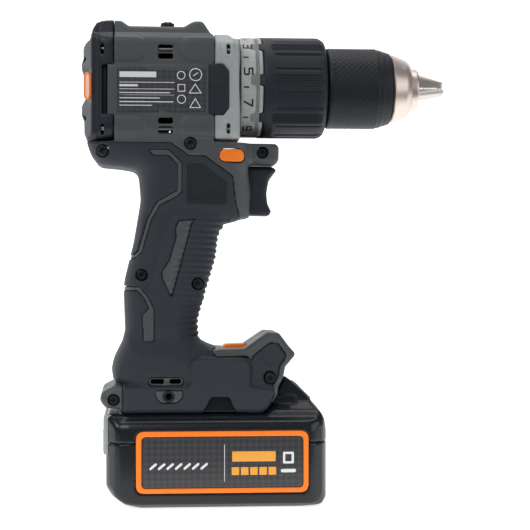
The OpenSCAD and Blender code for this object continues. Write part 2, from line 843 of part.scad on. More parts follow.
// Nut that follows the collar round and presses the spring
module clutch_nut() {
    color(cap_dark) tube(44.2, 49, collar_in_r - gap, neck_r + gap);
}

// Hard ring with the dial; its tabs reach into the soft grip
tab_x = 26;
ring_x = 23;
module collar_tabs(grow) {
    for (k = [0:7]) rotate_x(45 * k + 22.5) box(ring_x - 1, tab_x + grow, -5 - grow, 5 + grow, 20, 60);
}
module number_ring() {
    color(ring_grey) difference() {
        union() {
            turned([
                [collar_x0, 0], [collar_x0, collar_r - 1], [collar_x0 + 1, collar_r - 0.3],
                    [ring_x, collar_r - 0.3],
                [ring_x, collar_r - 3], [57, collar_r - 3], [57, 0]
            ]);
            intersection() {
                rod(ring_x - 0.5, tab_x, collar_r - 0.3);
                collar_tabs(0);
            }
        }
        rod(collar_x0 - 1, 54.5, collar_in_r);
        rod(50, 60, neck_r - 3);
        // One tick for each torque setting
        for (k = [0:clutch_steps - 1]) rotate_x(90 - dial_turn / (clutch_steps - 1) * k)
            box(collar_x0 - 1, collar_x0 + 2.2, -0.3, 0.3, collar_r - 0.7, collar_r + 1);
    }
}
module collar_grip() {
    color(rubber_dark) difference() {
        turned([
            [ring_x + 0.1, collar_r - 2.95], [ring_x + 0.1, collar_r], [54.6, collar_r],
                [56.6, collar_r - 0.8],
            [57.7, collar_r - 2.2], [collar_x1, collar_r - 3.6], [collar_x1, collar_r - 7],
                [57.05, collar_r - 7],
            [57.05, collar_r - 2.95]
        ]);
        collar_tabs(0.1);
        for (k = [0:7])
            rotate_x(45 * k + 22.5)
                translate([30, 0, collar_r + 2.6]) rotate([0, 90, 0]) cylinder(h = 24, r = 4);
    }
}

module snap_ring() {
    color(dark_steel) difference() {
        tube(52.1, 53.3, neck_r + 1.4, neck_r - 0.9);
        box(50, 55, -2, 2, axis_z, axis_z + 30);
    }
}

// ---- Chuck ----

// Space of one jaw's own line of travel: a slanted rod that meets the axis near the tip
module jaw_line(r, forward, len) {
    translate([tip_x, 0, tip_r]) rotate([0, -(90 - jaw_slope),
        0]) translate([0, 0, -forward]) cylinder(h = len, r = r);
}

module chuck_body() {
    color(bright_steel) difference() {
        turned([
            [61, 0], [61, hub_r], [86.3, hub_r], [86.3, hub_r - 1.8], [92.4, hub_r - 1.8],
                [93.2, 17.7 * k_chuck],
            [98.3, 15.2 * k_chuck], [102.7, 13.4 * k_chuck], [103.4, 12.6], [103.6, 10.8],
                [nose_x - 0.5, 10.6],
            [nose_x, 10.1], [nose_x, 0]
        ]);
        rod(58, 74, spindle_r + 0.2);
        rod(72, 110, 6.9);
        for (k = [0:2]) rotate_x(120 * k) jaw_line(jaw_r + 0.2, 8, 90);
    }
}

module chuck_screw() {
    color(dark_steel) union() {
        rod(71.6, 74.6, 4);
        rod(57, 72, 2.5);
    }
}

module chuck_sleeve() {
    color(sleeve_dark) difference() {
        turned([
            [chuck_x0, 0], [chuck_x0, 19.6 * k_chuck], [59.6, 21 * k_chuck], [84.8, 21 * k_chuck],
                [87.5, 20.1 * k_chuck],
            [90.5, 19 * k_chuck], [92.2, 18 * k_chuck], [92.2, 0]
        ]);
        rod(50, 70, hub_r + gap);
        rod(60.8, 86.8, sleeve_in_r);
        rod(86, 100, 17.65 * k_chuck);
    }
}

// Nut with the cone that drives the jaws, pressed into the sleeve
module ring_nut() {
    nut_cone = tan(jaw_slope);
    nut_r0 = tip_r + (tip_x - 86.9) * nut_cone + jaw_r / cos(jaw_slope) + 0.3;
    color(dark_steel) difference() {
        rod(86.9, 91.8, 17.6 * k_chuck);
        translate([86.9 - 1, 0, axis_z]) rotate([0, 90, 0])
            cylinder(h = 7, r1 = nut_r0 + nut_cone, r2 = nut_r0 - 6 * nut_cone);
    }
}

// One jaw: a slanted rod with a ground back and two faces that close on the bit
module jaw(k) {
    color(dark_steel) rotate_x(120 * k) intersection() {
        jaw_line(jaw_r, 8, jaw_len + 8);
        translate([80, 0, 0]) rotate([90, 0, 90]) linear_extrude(tip_x - 80)
            polygon([[0, 0.12], [40, 23.2], [-40, 23.2]]);
        union() {
            translate([105.5, 0, 0]) rotate([0, 90, 0]) cylinder(h = tip_x - 105.5, r1 = 6, r2 = 3.4);
            translate([80, 0, 0]) rotate([0, 90, 0]) cylinder(h = 25.6, r = jaw_back_r);
        }
    }
}
module jaw_1() { jaw(0); }
module jaw_2() { jaw(1); }
module jaw_3() { jaw(2); }

// ---- Electrics of the body ----

module control_board() {
    color(board_green) union() {
        box(px(-38), px(-6), -wy(22), wy(22), 66.5, 68.1);
        box(px(-30), px(-14), -wy(12), wy(12), 68, 72.5);
    }
}

// Block behind the rails with three blades that reach forward into the pack
module terminal_block() {
    color(cap_dark) union() {
        box(px(-45.5), px(-37), -wy(20), wy(20), 52.5, 61);
        for (y = [-13, 0, 13]) box(px(-38), px(-22), wy(y) - 0.4, wy(y) + 0.4, 54, 60);
    }
}

// A wire as one swept skin, listed from its low end up: eight points round each point of its route
function along(points, t) =
    let (n = len(points) - 1, i = min(n - 1, floor(t)), f = t - i, g = f * f * (3 - 2 * f))
    [points[i][0] + (points[i + 1][0] - points[i][0]) * g, points[i][1],
        points[i][2] + (points[i + 1][2] - points[i][2]) * f];
module lead(points, r) {
    steps = 3 * (len(points) - 1);
    polyhedron(
        points = [for (j = [0:steps], i = [0:7]) along(points, j / 3) + [r * cos(45 * i),
            r * sin(45 * i), 0]],
        faces = concat(
            [[for (i = [0:7]) i]],
            [for (j = [0:steps - 1], i = [0:7]) [j * 8 + i, (j + 1) * 8 + i, (j + 1) * 8 + (i + 1) % 8]],
            [for (j = [0:steps - 1],
                i = [0:7]) [j * 8 + i, (j + 1) * 8 + (i + 1) % 8, j * 8 + (i + 1) % 8]],
            [[for (i = [7:-1:0]) steps * 8 + i]]
        )
    );
}

// Three leads from the switch down to the board, and three up to the motor
module leads() {
    for (y = [-5, 0, 5]) color(y == 0 ? orange : cap_dark)
        lead([[px(-22), y, 73], [px(-27), y, 90], [px(-29), y, up(118)], [px(-20),
            y, up(140)], [-15, y, up(150.7)]], 1.1);
    for (y = [-6, 0, 6]) color(y == 0 ? copper : cap_dark)
        lead([[-18, y, up(174.3)], [-22, y, axis_z - 31], [-22.6, y, axis_z - 22.5 * k_barrel]], 1);
}

module lamp_board() {
    color(board_green) lamp_place() union() {
        translate([2.3, -9, -5]) cube([8, 18, 1.2]);
        translate([6.3, 0, -4]) cylinder(h = 1.6, r = 1.8);
    }
}
module lamp_lens() {
    color([0.85, 0.9, 0.92]) lamp_place() translate([1.5, -10.7, -1.6]) cube([9.6, 21.4, 1.4]);
}

// ---- Battery pack ----

pack_plan = rounded(px(-58.6), px(58), -pack_w / 2, pack_w / 2, 10, 4);
pack_base = [
    [px(-58.6), pack_seam_z], [px(-58.6), 8], [px(-57), 3.6], [px(-53.5), 1], [px(-49), 0], [px(49),
        0], [px(54), 1.2],
    [px(57), 4.4], [px(58), 9], [px(58), pack_seam_z]
];
pack_lid = [
    [px(-58.6), pack_seam_z], [px(58), pack_seam_z], [px(58), 38.9], [px(57.5), 41.6], [px(54.8), 46.9],
    [px(50.5), 52.3], [px(45.2), 57.6], [px(39.8), 63], [px(37.4), 63.4], [px(37.4), 48], [px(-54), 48],
    [px(-58.6), 44]
];
function section_pack(z0, z1) = [
    [-pack_w / 2, z1], [-pack_w / 2, z0 + 8], [-pack_w / 2 + 2.3, z0 + 2.3], [-pack_w / 2 + 8, z0],
    [pack_w / 2 - 8, z0], [pack_w / 2 - 2.3, z0 + 2.3], [pack_w / 2, z0 + 8], [pack_w / 2, z1]
];

// Room for the ten cells
module cell_room() {
    box(px(-52), px(50), -wy(34), wy(34), 2.4, pack_seam_z + 11);
}

module pack_bottom() {
    color(pack_black) difference() {
        intersection() {
            side(pack_base, -pack_w / 2, pack_w / 2);
            linear_extrude(pack_seam_z) polygon(pack_plan);
            across(section_pack(0, pack_seam_z), px(-60), px(60));
        }
        cell_room();
        // Shallow frame recess on each side
        for (s = [-1, 1])
            side(
                rounded(px(-42.4), px(45.3), 8.3, pack_seam_z + 10, 4.3),
                s < 0 ? -60 : pack_w / 2 - 0.9, s < 0 ? -pack_w / 2 + 0.9 : 60
            );
    }
}

module pack_top() {
    color(pack_black) difference() {
        union() {
            intersection() {
                side(pack_lid, -pack_w / 2, pack_w / 2);
                translate([0, 0, pack_seam_z]) linear_extrude(40) polygon(pack_plan);
                across([
                    [-pack_w / 2, pack_seam_z], [pack_w / 2, pack_seam_z], [pack_w / 2, 43], [wy(34),
                        49], [wy(25), 64],
                    [-wy(25), 64], [-wy(34), 49], [-pack_w / 2, 43]
                ], px(-60), px(60));
            }
            // Rail head on its neck
            across([
                [-wy(20.6), 47], [wy(20.6), 47], [wy(20.6),
                    52.2], [rail_half - 0.4, 52.2], [rail_half - 0.4, 57],
                [-rail_half + 0.4, 57], [-rail_half + 0.4, 52.2], [-wy(20.6), 52.2]
            ], px(-36), px(30));
        }
        difference() {
            box(px(-52), px(50), -wy(34), wy(34), pack_seam_z - 1, 44.5);
            box(px(36), px(54), -wy(15), wy(15), 40, 60);
        }
        // Slots for the blades
        for (y = [-13, 0, 13]) box(px(-40), px(-20), wy(y) - 1, wy(y) + 1, 53, 58);
        // Pocket and groove of the latch
        box(px(40.6), px(49.4), -12.4, 12.4, 43, 70);
        box(px(22), px(45), -6.4, 6.4, 52.6, 60.2);
        // Seat of the gauge button
        box(px(-60), px(-55.4), -8.4, 8.4, 36.4, 42.6);
        for (s = [-1, 1])
            side(rounded(px(-42.4), px(45.3), 8.3, 39.7, 4.3),
                s < 0 ? -60 : pack_w / 2 - 0.9, s < 0 ? -pack_w / 2 + 0.9 : 60);
    }
}

// Ten cells in two layers, lying across the pack
module cells() {
    color(board_green) for (i = [-2:2], j = [0, 1])
        translate([i * cell_pitch - 1, cell_l / 2, 2.6 + cell_r + j * cell_pitch])
            rotate([90, 0, 0]) cylinder(h = cell_l, r = cell_r);
}

// Latch: a wide button in the hump with a tooth that runs back over the rail head
module latch() {
    color(cap_dark) union() {
        side([[px(41), 47.5], [px(49), 47.5], [px(49), 54.4], [px(41), 62.4]], -12, 12);
        box(px(33), px(42), -6, 6, 56.2, 59.6);
    }
}

module gauge_button() {
    color(orange) box(px(-59.2), px(-56.4), -8, 8, 36.8, 42.2);
}

housing_right();
housing_left();
overmould_right();
overmould_left();
rear_cap();
rear_badge();
rating_plates();
side_tabs();
grip_inlays();
gear_case();
case_screws();
hook_inserts();
trigger();
switch_module();
direction_bar();
speed_knob();
shift_ring();
stator();
windings();
hall_board();
rotor();
magnets();
fan();
motor_bearings();
motor_plate();
ring_gear();
planet_1a();
planet_1b();
planet_1c();
carrier();
planet_2a();
planet_2b();
planet_2c();
spindle();
spindle_bearing();
clutch_balls();
clutch_washer();
clutch_spring();
clutch_nut();
number_ring();
collar_grip();
snap_ring();
chuck_body();
chuck_screw();
chuck_sleeve();
ring_nut();
jaw_1();
jaw_2();
jaw_3();
control_board();
terminal_block();
leads();
lamp_board();
lamp_lens();
light_switch();
pack_bottom();
pack_top();
cells();
latch();
gauge_button();
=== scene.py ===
# %% Set-up
import json
import math

import bpy
import numpy as np
from mathutils import Matrix, Vector


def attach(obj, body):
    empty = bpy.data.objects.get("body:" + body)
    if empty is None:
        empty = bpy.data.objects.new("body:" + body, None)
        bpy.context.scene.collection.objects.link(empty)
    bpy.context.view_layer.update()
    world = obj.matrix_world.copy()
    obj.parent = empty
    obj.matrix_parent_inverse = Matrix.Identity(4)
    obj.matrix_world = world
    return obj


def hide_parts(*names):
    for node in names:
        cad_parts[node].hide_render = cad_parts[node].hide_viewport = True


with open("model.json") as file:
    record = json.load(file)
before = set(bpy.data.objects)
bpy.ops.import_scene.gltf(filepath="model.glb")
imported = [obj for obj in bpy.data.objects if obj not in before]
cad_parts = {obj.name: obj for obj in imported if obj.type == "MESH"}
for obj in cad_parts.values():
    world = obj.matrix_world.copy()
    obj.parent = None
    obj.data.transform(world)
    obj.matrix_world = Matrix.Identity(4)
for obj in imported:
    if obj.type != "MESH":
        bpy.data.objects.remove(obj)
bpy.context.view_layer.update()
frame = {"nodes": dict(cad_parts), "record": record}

MM = 0.001
scene = bpy.context.scene

# %% [markdown]
# ## Camera
# The tool stands upright and is seen from its right side, a little from behind, at half its height. A long lens keeps
# the outlines close to a true side view, which is how such tools are pictured in a catalogue.

# %% Camera
CAMERA_DISTANCE = 0.850
CAMERA_YAW = math.radians(4.5)
TARGET = Vector((0.026, 0.0, 0.124))


def place_camera():
    data = bpy.data.cameras.new("camera")
    data.sensor_width = 36.0
    data.lens = 108.5
    camera = bpy.data.objects.new("camera", data)
    scene.collection.objects.link(camera)
    look = Vector((math.sin(CAMERA_YAW), math.cos(CAMERA_YAW), 0.0))
    camera.location = TARGET - look * CAMERA_DISTANCE
    camera.rotation_euler = look.to_track_quat("-Z", "Y").to_euler()
    scene.camera = camera


place_camera()

# %% [markdown]
# ## Light and floor
# A white sweep lit by three large lamps gives soft edges and a bright rim on dark plastic. A single sun would leave
# hard shadows in every vent, so area lamps were chosen. The floor curves up behind the tool and has no horizon.

# %% Light and floor


def area_light(name, place, aim, size, power):
    data = bpy.data.lights.new(name, "AREA")
    data.shape = "RECTANGLE"
    data.size, data.size_y = size
    data.energy = power
    lamp = bpy.data.objects.new(name, data)
    scene.collection.objects.link(lamp)
    lamp.location = place
    lamp.rotation_euler = (Vector(aim) - Vector(place)).to_track_quat("-Z", "Y").to_euler()


area_light("key", (-0.55, -1.0, 0.95), (0.0, 0.0, 0.14), (0.9, 0.7), 8.5)
area_light("fill", (0.95, -0.75, 0.35), (0.02, 0.0, 0.13), (0.7, 0.9), 3.0)
area_light("top", (0.05, 0.1, 1.1), (0.0, 0.0, 0.1), (0.9, 0.6), 4.0)
area_light("rear", (-0.9, 0.5, 0.5), (0.0, 0.0, 0.15), (0.5, 0.8), 3.0)

world = bpy.data.worlds.new("studio")
world.use_nodes = True
world.node_tree.nodes["Background"].inputs[0].default_value = (1.0, 1.0, 1.0, 1.0)
world.node_tree.nodes["Background"].inputs[1].default_value = 0.20
scene.world = world
scene.view_settings.view_transform = "Standard"


def backdrop():
    """A floor that curves up into a wall behind the tool."""
    bend, back, wide = 0.8, 1.6, 3.0
    line = [(-2.5, 0.0), (back, 0.0)]
    line += [(back + bend * math.sin(a), bend - bend * math.cos(a)) for a in np.linspace(0.1, math.pi / 2,
            16)]
    line.append((back + bend, 3.5))
    points = [(x, y, z) for y, z in line for x in (-wide, wide)]
    faces = [(2 * i, 2 * i + 1, 2 * i + 3, 2 * i + 2) for i in range(len(line) - 1)]
    mesh = bpy.data.meshes.new("floor")
    mesh.from_pydata(points, [], faces)
    mesh.shade_smooth()
    floor = bpy.data.objects.new("floor", mesh)
    scene.collection.objects.link(floor)
    return floor


floor = backdrop()

# %% [markdown]
# ## Shader sums
# Every finish is worked out by nodes. This small class wraps a socket, so that a mask can be written as a sum.

# %% Shader sums


class Sum:
    """A number that the material works out at each point."""

    def __init__(self, nodes, socket):
        self.nodes = nodes
        self.socket = socket

    def math(self, operation, other=None, third=None):
        return self.nodes.add("ShaderNodeMath", {"operation": operation}, self, other, third)[0]

    def __add__(self, other):
        return self.math("ADD", other)

    def __sub__(self, other):
        return self.math("SUBTRACT", other)

    def __mul__(self, other):
        return self.math("MULTIPLY", other)

    def __truediv__(self, other):
        return self.math("DIVIDE", other)

    def __rsub__(self, other):
        return (self * -1.0) + other

    __radd__ = __add__
    __rmul__ = __mul__

    def clamp(self, low=0.0, high=1.0):
        return self.math("MAXIMUM", low).math("MINIMUM", high)

    def ramp(self, low, high):
        """0 below low, 1 above high, straight between."""
        return ((self - low) * (1.0 / (high - low))).clamp()


class Finish:
    """One material and the nodes in it."""

    def __init__(self, name):
        self.material = bpy.data.materials.new(name)
        self.material.use_nodes = True
        self.tree = self.material.node_tree
        self.surface = self.tree.nodes["Principled BSDF"]

    def add(self, kind, settings=None, *inputs, **named):
        """A node of that kind: settings first, then its inputs in order or by name; returns its outputs."""
        node = self.tree.nodes.new(kind)
        for key, value in (settings or {}).items():
            setattr(node, key, value)
        pairs = [(node.inputs[i], v) for i, v in enumerate(inputs) if v is not None]
        pairs += [(node.inputs[key.replace("_", " ")], v) for key, v in named.items()]
        for socket, value in pairs:
            if isinstance(value, Sum):
                self.tree.links.new(value.socket, socket)
            else:
                socket.default_value = value
        return [Sum(self, out) for out in node.outputs]

    def place(self):
        """The point on the piece, in metres."""
        return self.add("ShaderNodeTexCoord")[3]

    def axes(self):
        return self.add("ShaderNodeSeparateXYZ", None, self.place())

    def noise(self, scale, detail=3.0, rough=0.5):
        return self.add("ShaderNodeTexNoise", None, Vector=self.place(), Scale=scale, Detail=detail,
                        Roughness=rough)[0]

    def mix(self, mask, first, second):
        """Colour that goes from first to second with the mask."""
        node = self.tree.nodes.new("ShaderNodeMix")
        node.data_type = "RGBA"
        for socket, value in ((node.inputs[0], mask), (node.inputs[6], first), (node.inputs[7], second)):
            if isinstance(value, Sum):
                self.tree.links.new(value.socket, socket)
            else:
                socket.default_value = value
        return Sum(self, node.outputs[2])

    def set(self, **values):
        for key, value in values.items():
            socket = self.surface.inputs[key.replace("_", " ")]
            if isinstance(value, Sum):
                self.tree.links.new(value.socket, socket)
            else:
                socket.default_value = value

    def bump(self, height, depth, strength=1.0):
        """Surface relief; depth in metres."""
        normal = self.add("ShaderNodeBump", None, Strength=strength, Distance=depth, Height=height)[0]
        self.tree.links.new(normal.socket, self.surface.inputs["Normal"])


def colour(r, g, b):
    """A colour as the eye reads it, 0 to 255, turned into light."""
    def light(v):
        v = v / 255.0
        return v / 12.92 if v < 0.04045 else ((v + 0.055) / 1.055) ** 2.4
    return (light(r), light(g), light(b), 1.0)


def shade(tint, factor):
    return (tint[0] * factor, tint[1] * factor, tint[2] * factor, 1.0)


# %% [markdown]
# ## Finishes
# Moulded plastic is a fine leather grain: a small noise bump with a slow change of tone and gloss. The soft skins are
# rougher, with less gloss. Metal is turned, so its scratches run round the chuck's axis. A flat colour would look
# like a toy, which is why even the plain parts vary.

# %% Plastics and rubber


def moulded(name, tint, rough=0.5, grain=900.0, depth=0.00006, wear=0.12, coat=0.0):
    """Moulded plastic or rubber with a fine grain."""
    f = Finish(name)
    slow = f.noise(22.0, 4.0)
    fine = f.noise(grain, 2.0)
    tone = ((slow - 0.5) * wear + (fine - 0.5) * 0.10 + 0.5).clamp()
    f.tone, f.fine = f.mix(tone, shade(tint, 0.80), shade(tint, 1.20)), fine
    f.set(Base_Color=f.tone)
    f.set(Roughness=(rough + (slow - 0.5) * 0.12 + (fine - 0.5) * 0.10).clamp(0.05, 1.0))
    f.set(Coat_Weight=coat, Coat_Roughness=0.08, Specular_IOR_Level=0.3)
    f.bump(fine, depth)
    return f


def ribbed_patch(f):
    """Fine ribs across a patch of the grip, under the thumb. The patch is painted darker than the skin round it, and
    the grooves between the ribs are painted darker still, as painted shade.
    """
    x, y, z = f.axes()
    inside = x.ramp(-0.0165, -0.0159) * (1.0 - x.ramp(0.0043, 0.0049)) * z.ramp(0.1554, 0.1560)
    slanted = x * 0.590 + z * 0.808
    inside = inside * (1.0 - z.ramp(0.1761, 0.1767)) * (1.0 - slanted.ramp(0.1374, 0.1380))
    ribs = (z * (2.0 * math.pi / 0.0011)).math("SINE") * 0.5 + 0.5
    # Painted shade: the patch is mixed towards a deep tint, fully in the grooves and half on the ribs
    f.set(Base_Color=f.mix(inside * (1.0 - ribs * 0.5), f.tone, shade(SOFT, 0.45)))
    f.bump(ribs * inside + f.fine * 0.15, 0.0004)


GREY = colour(76, 80, 82)
SOFT = colour(44, 50, 57)
CAP = colour(32, 37, 44)
ORANGE = colour(255, 131, 40)

finishes = {
    "housing": moulded("housing", GREY, 0.46),
    "overmould": moulded("overmould", SOFT, 0.62, 1300.0, 0.00005),
    "cap": moulded("cap", CAP, 0.45),
    "collar_rubber": moulded("collar_rubber", colour(32, 37, 44), 0.55, 1300.0),
    "sleeve": moulded("sleeve", colour(26, 30, 35), 0.5, 900.0),
    "orange": moulded("orange", ORANGE, 0.36, 700.0, 0.00002, 0.05),
    "amber": moulded("amber", colour(240, 168, 70), 0.4, 700.0, 0.00002, 0.05),
    "pack": moulded("pack", colour(19, 23, 29), 0.26, 600.0, 0.00001, 0.06, 0.2),
    "wire": moulded("wire", colour(30, 30, 32), 0.5),
    "board": moulded("board", colour(20, 84, 56), 0.4),
    "magnet": moulded("magnet", colour(70, 72, 76), 0.35),
    "cell": moulded("cell", colour(32, 110, 92), 0.35),
    "print": moulded("print", colour(226, 228, 230), 0.5),
    "ink": moulded("ink", colour(22, 24, 28), 0.5),
}
finishes["inlay"] = finishes["housing"]
ribbed_patch(finishes["overmould"])

# %% Metals


def metal(name, tint, rough, grain=0.06, metallic=1.0):
    """Machined metal: fine rings round the chuck's axis, with a slow stain."""
    f = Finish(name)
    x, y, z = f.axes()
    rings = f.add("ShaderNodeTexNoise", {"noise_dimensions": "1D"}, W=x * 6000.0, Scale=1.0, Detail=3.0)[0]
    slow = f.noise(60.0, 3.0)
    tone = ((slow - 0.5) * 0.5 + (rings - 0.5) * 0.3 + 0.5).clamp()
    f.set(Base_Color=f.mix(tone, shade(tint, 0.82), shade(tint, 1.12)), Metallic=metallic)
    f.set(Roughness=(rough + (rings - 0.5) * grain + (slow - 0.5) * 0.1).clamp(0.05, 1.0))
    f.bump(rings, 0.00002)
    return f


def cast(name, tint):
    """Painted casting: a pebbled surface under satin paint."""
    f = Finish(name)
    pebble = f.noise(420.0, 3.0, 0.6)
    slow = f.noise(45.0, 3.0)
    tone = ((pebble - 0.5) * 0.7 + (slow - 0.5) * 0.5 + 0.5).clamp()
    f.set(Base_Color=f.mix(tone, shade(tint, 0.78), shade(tint, 1.18)))
    f.set(Roughness=(0.42 + (pebble - 0.5) * 0.3).clamp(0.1, 1.0))
    f.bump(pebble, 0.00012)
    return f


finishes.update({
    "case_grey": cast("case_grey", colour(160, 166, 167)),
    "dial": cast("dial", colour(168, 171, 171)),
    "nose": metal("nose", colour(216, 203, 194), 0.38),
    "steel": metal("steel", colour(190, 188, 184), 0.30),
    "dark_steel": metal("dark_steel", colour(205, 199, 194), 0.40),
    "laminate": metal("laminate", colour(120, 122, 124), 0.45),
    "screw": metal("screw", colour(38, 40, 46), 0.40, metallic=0.6),
    "copper": metal("copper", colour(196, 118, 70), 0.35),
    "brass": metal("brass", colour(206, 172, 96), 0.32),
    "badge": metal("badge", colour(225, 190, 176), 0.4, metallic=0.3),
})

# %% [markdown]
# ## Check pattern
# The marking plates show a fine woven check. It is worked out from the place on the plate: two square waves turned by
# 45 degrees, multiplied, with a little shading inside each square so that it reads as a weave.

# %% Check pattern


def woven(name, dark, pale, pitch):
    f = Finish(name)
    x, y, z = f.axes()
    u, v = (x + z) * (0.7071 / pitch), (x - z) * (0.7071 / pitch)
    a, b = u.math("FLOORED_MODULO", 2.0), v.math("FLOORED_MODULO", 2.0)
    check = (a.math("GREATER_THAN", 1.0) - b.math("GREATER_THAN", 1.0)).math("ABSOLUTE")
    across = a.math("FRACT") * check + b.math("FRACT") * (1.0 - check)
    weave = (check * 0.7 + across * 0.3).clamp()
    f.set(Base_Color=f.mix(weave, dark, pale), Roughness=0.34 + weave * 0.1, Coat_Weight=0.3,
          Coat_Roughness=0.1)
    f.bump(weave, 0.00003)
    return f


finishes["plate"] = woven("plate", colour(44, 46, 50), colour(62, 64, 68), 0.0021)
finishes["panel"] = woven("panel", colour(36, 37, 40), colour(56, 57, 60), 0.0022)


def clear(name):
    """Lamp window: clear plastic with a faint ripple."""
    f = Finish(name)
    ripple = f.noise(500.0, 2.0)
    tint = f.mix(ripple, colour(196, 206, 208), colour(230, 236, 236))
    f.set(Base_Color=tint, Roughness=0.08 + ripple * 0.08, Transmission_Weight=0.65, IOR=1.49, Alpha=0.9)
    f.bump(ripple, 0.00004)
    return f


finishes["lens"] = clear("lens")


def pale_floor():
    """White paper that glows from just in front of the tool to the wall, as a lit cyclorama does."""
    f = Finish("pale_floor")
    x, y, z = f.axes()
    soft = f.noise(3.0, 2.0)
    lit = y.ramp(-0.22, -0.13)
    paper = f.mix(soft, (0.88, 0.88, 0.88, 1.0), (0.92, 0.92, 0.92, 1.0))
    f.set(Base_Color=f.mix(lit, (0.10, 0.10, 0.10, 1.0), paper), Roughness=0.85 + soft * 0.1)
    f.set(Emission_Color=f.mix(lit, (0.0, 0.0, 0.0, 1.0), (1.0, 1.0, 1.0, 1.0)), Emission_Strength=0.8)
    return f


floor.data.materials.append(pale_floor().material)

# %% [markdown]
# ## Solids from distances
# The shells are moulded: every edge is rounded and every rib blends into its wall. They could be modelled by hand as
# subdivided cages, but ribs, seams and pads would then have to be cut into a net of quads. Here each shell is a
# distance field instead: at every point of a fine grid the distance to the surface is summed from outlines, and the
# surface is then drawn where the distance is zero. Blends and seams are then plain sums.

# %% Distances


class Grid:
    """Sample points of a box in millimetres, one every step; x, y and z broadcast against each other."""

    def __init__(self, low, high, step):
        self.step = step
        self.low = [a - 2.0 * step for a in low]
        counts = [int(math.ceil((b - a) / step)) + 5 for a, b in zip(low, high)]
        axes = [a + step * np.arange(n, dtype=np.float32) for a, n in zip(self.low, counts)]
        self.x = axes[0][:, None, None]
        self.y = axes[1][None, :, None]
        self.z = axes[2][None, None, :]


def rounded(corners, n=6):
    """Outline through corners (a, b, radius), each turned into a short curve."""
    points = []
    for k, (a, b, r) in enumerate(corners):
        here = Vector((a, b))
        back = Vector(corners[k - 1][:2]) - here
        ahead = Vector(corners[(k + 1) % len(corners)][:2]) - here
        if r <= 0.0:
            points.append((a, b))
            continue
        half = back.angle(ahead) / 2.0
        cut = min(r / max(math.tan(half), 1e-3), 0.48 * back.length, 0.48 * ahead.length)
        p, q = here + back.normalized() * cut, here + ahead.normalized() * cut
        for t in (i / n for i in range(n + 1)):
            points.append(tuple(p * (1 - t) ** 2 + here * (2 * t * (1 - t)) + q * t ** 2))
    return points


def outline(corners, a, b, n=6):
    """Distance in a plane from (a, b) to the outline through the corners; negative inside."""
    points = rounded(corners, n)
    near = np.full(np.broadcast(a, b).shape, 1e9, np.float32)
    inside = np.zeros(near.shape, bool)
    for (pa, pb), (qa, qb) in zip(points, points[1:] + points[:1]):
        ea, eb = qa - pa, qb - pb
        size = ea * ea + eb * eb
        if size < 1e-12:
            continue
        t = np.clip(((a - pa) * ea + (b - pb) * eb) / size, 0.0, 1.0)
        near = np.minimum(near, (a - pa - t * ea) ** 2 + (b - pb - t * eb) ** 2)
        if eb != 0.0:
            inside ^= ((pb > b) != (qb > b)) & (a < pa + (b - pb) * (ea / eb))
    near = np.sqrt(near)
    return np.where(inside, -near, near)


def line(points, a, b, width):
    """Distance in a plane to a drawn line of that width, with round ends; negative on the line."""
    near = np.full(np.broadcast(a, b).shape, 1e9, np.float32)
    for (pa, pb), (qa, qb) in zip(points, points[1:]):
        ea, eb = qa - pa, qb - pb
        t = np.clip(((a - pa) * ea + (b - pb) * eb) / (ea * ea + eb * eb), 0.0, 1.0)
        near = np.minimum(near, (a - pa - t * ea) ** 2 + (b - pb - t * eb) ** 2)
    return np.sqrt(near) - width / 2.0


def oblong(a, b, a0, a1, b0, b1, r=0.0):
    """Distance in a plane to a round-cornered rectangle."""
    u = np.abs(a - (a0 + a1) / 2.0) - (a1 - a0) / 2.0 + r
    v = np.abs(b - (b0 + b1) / 2.0) - (b1 - b0) / 2.0 + r
    return np.sqrt(np.maximum(u, 0.0) ** 2 + np.maximum(v, 0.0) ** 2) + np.minimum(np.maximum(u, v), 0.0) - r


def disc(a, b, a0, b0, r):
    return np.sqrt((a - a0) ** 2 + (b - b0) ** 2) - r


def meet(a, b, r=0.0):
    """What lies inside both, with the edge between them rounded to r."""
    if r <= 0.0:
        return np.maximum(a, b)
    u, v = np.maximum(a + r, 0.0), np.maximum(b + r, 0.0)
    return np.minimum(np.maximum(a, b), -r) + np.sqrt(u * u + v * v)


def join(a, b, r=0.0):
    """What lies inside either, with a fillet of radius r between them."""
    if r <= 0.0:
        return np.minimum(a, b)
    u, v = np.maximum(r - a, 0.0), np.maximum(r - b, 0.0)
    return np.maximum(np.minimum(a, b), r) - np.sqrt(u * u + v * v)


def cut(a, b, r=0.0):
    """a without b."""
    return meet(a, -b, r)


def soft_step(distance, width):
    """1 well inside an outline, 0 well outside, smooth over the width."""
    t = np.clip(0.5 - distance / width, 0.0, 1.0)
    return t * t * (3.0 - 2.0 * t)


# %% [markdown]
# ## From distances to a mesh
# Each grid cell that the surface passes through gets one point, at the mean of the places where the surface crosses
# the cell's edges. Points of neighbouring cells are joined by quads. The mesh is closed by construction.

# %% Surface from a grid
CORNERS = [(i, j, k) for i in (0, 1) for j in (0, 1) for k in (0, 1)]
EDGES = [(a, b) for a in range(8) for b in range(a + 1, 8) if sum(abs(p - q) for p,
        q in zip(CORNERS[a], CORNERS[b])) == 1]


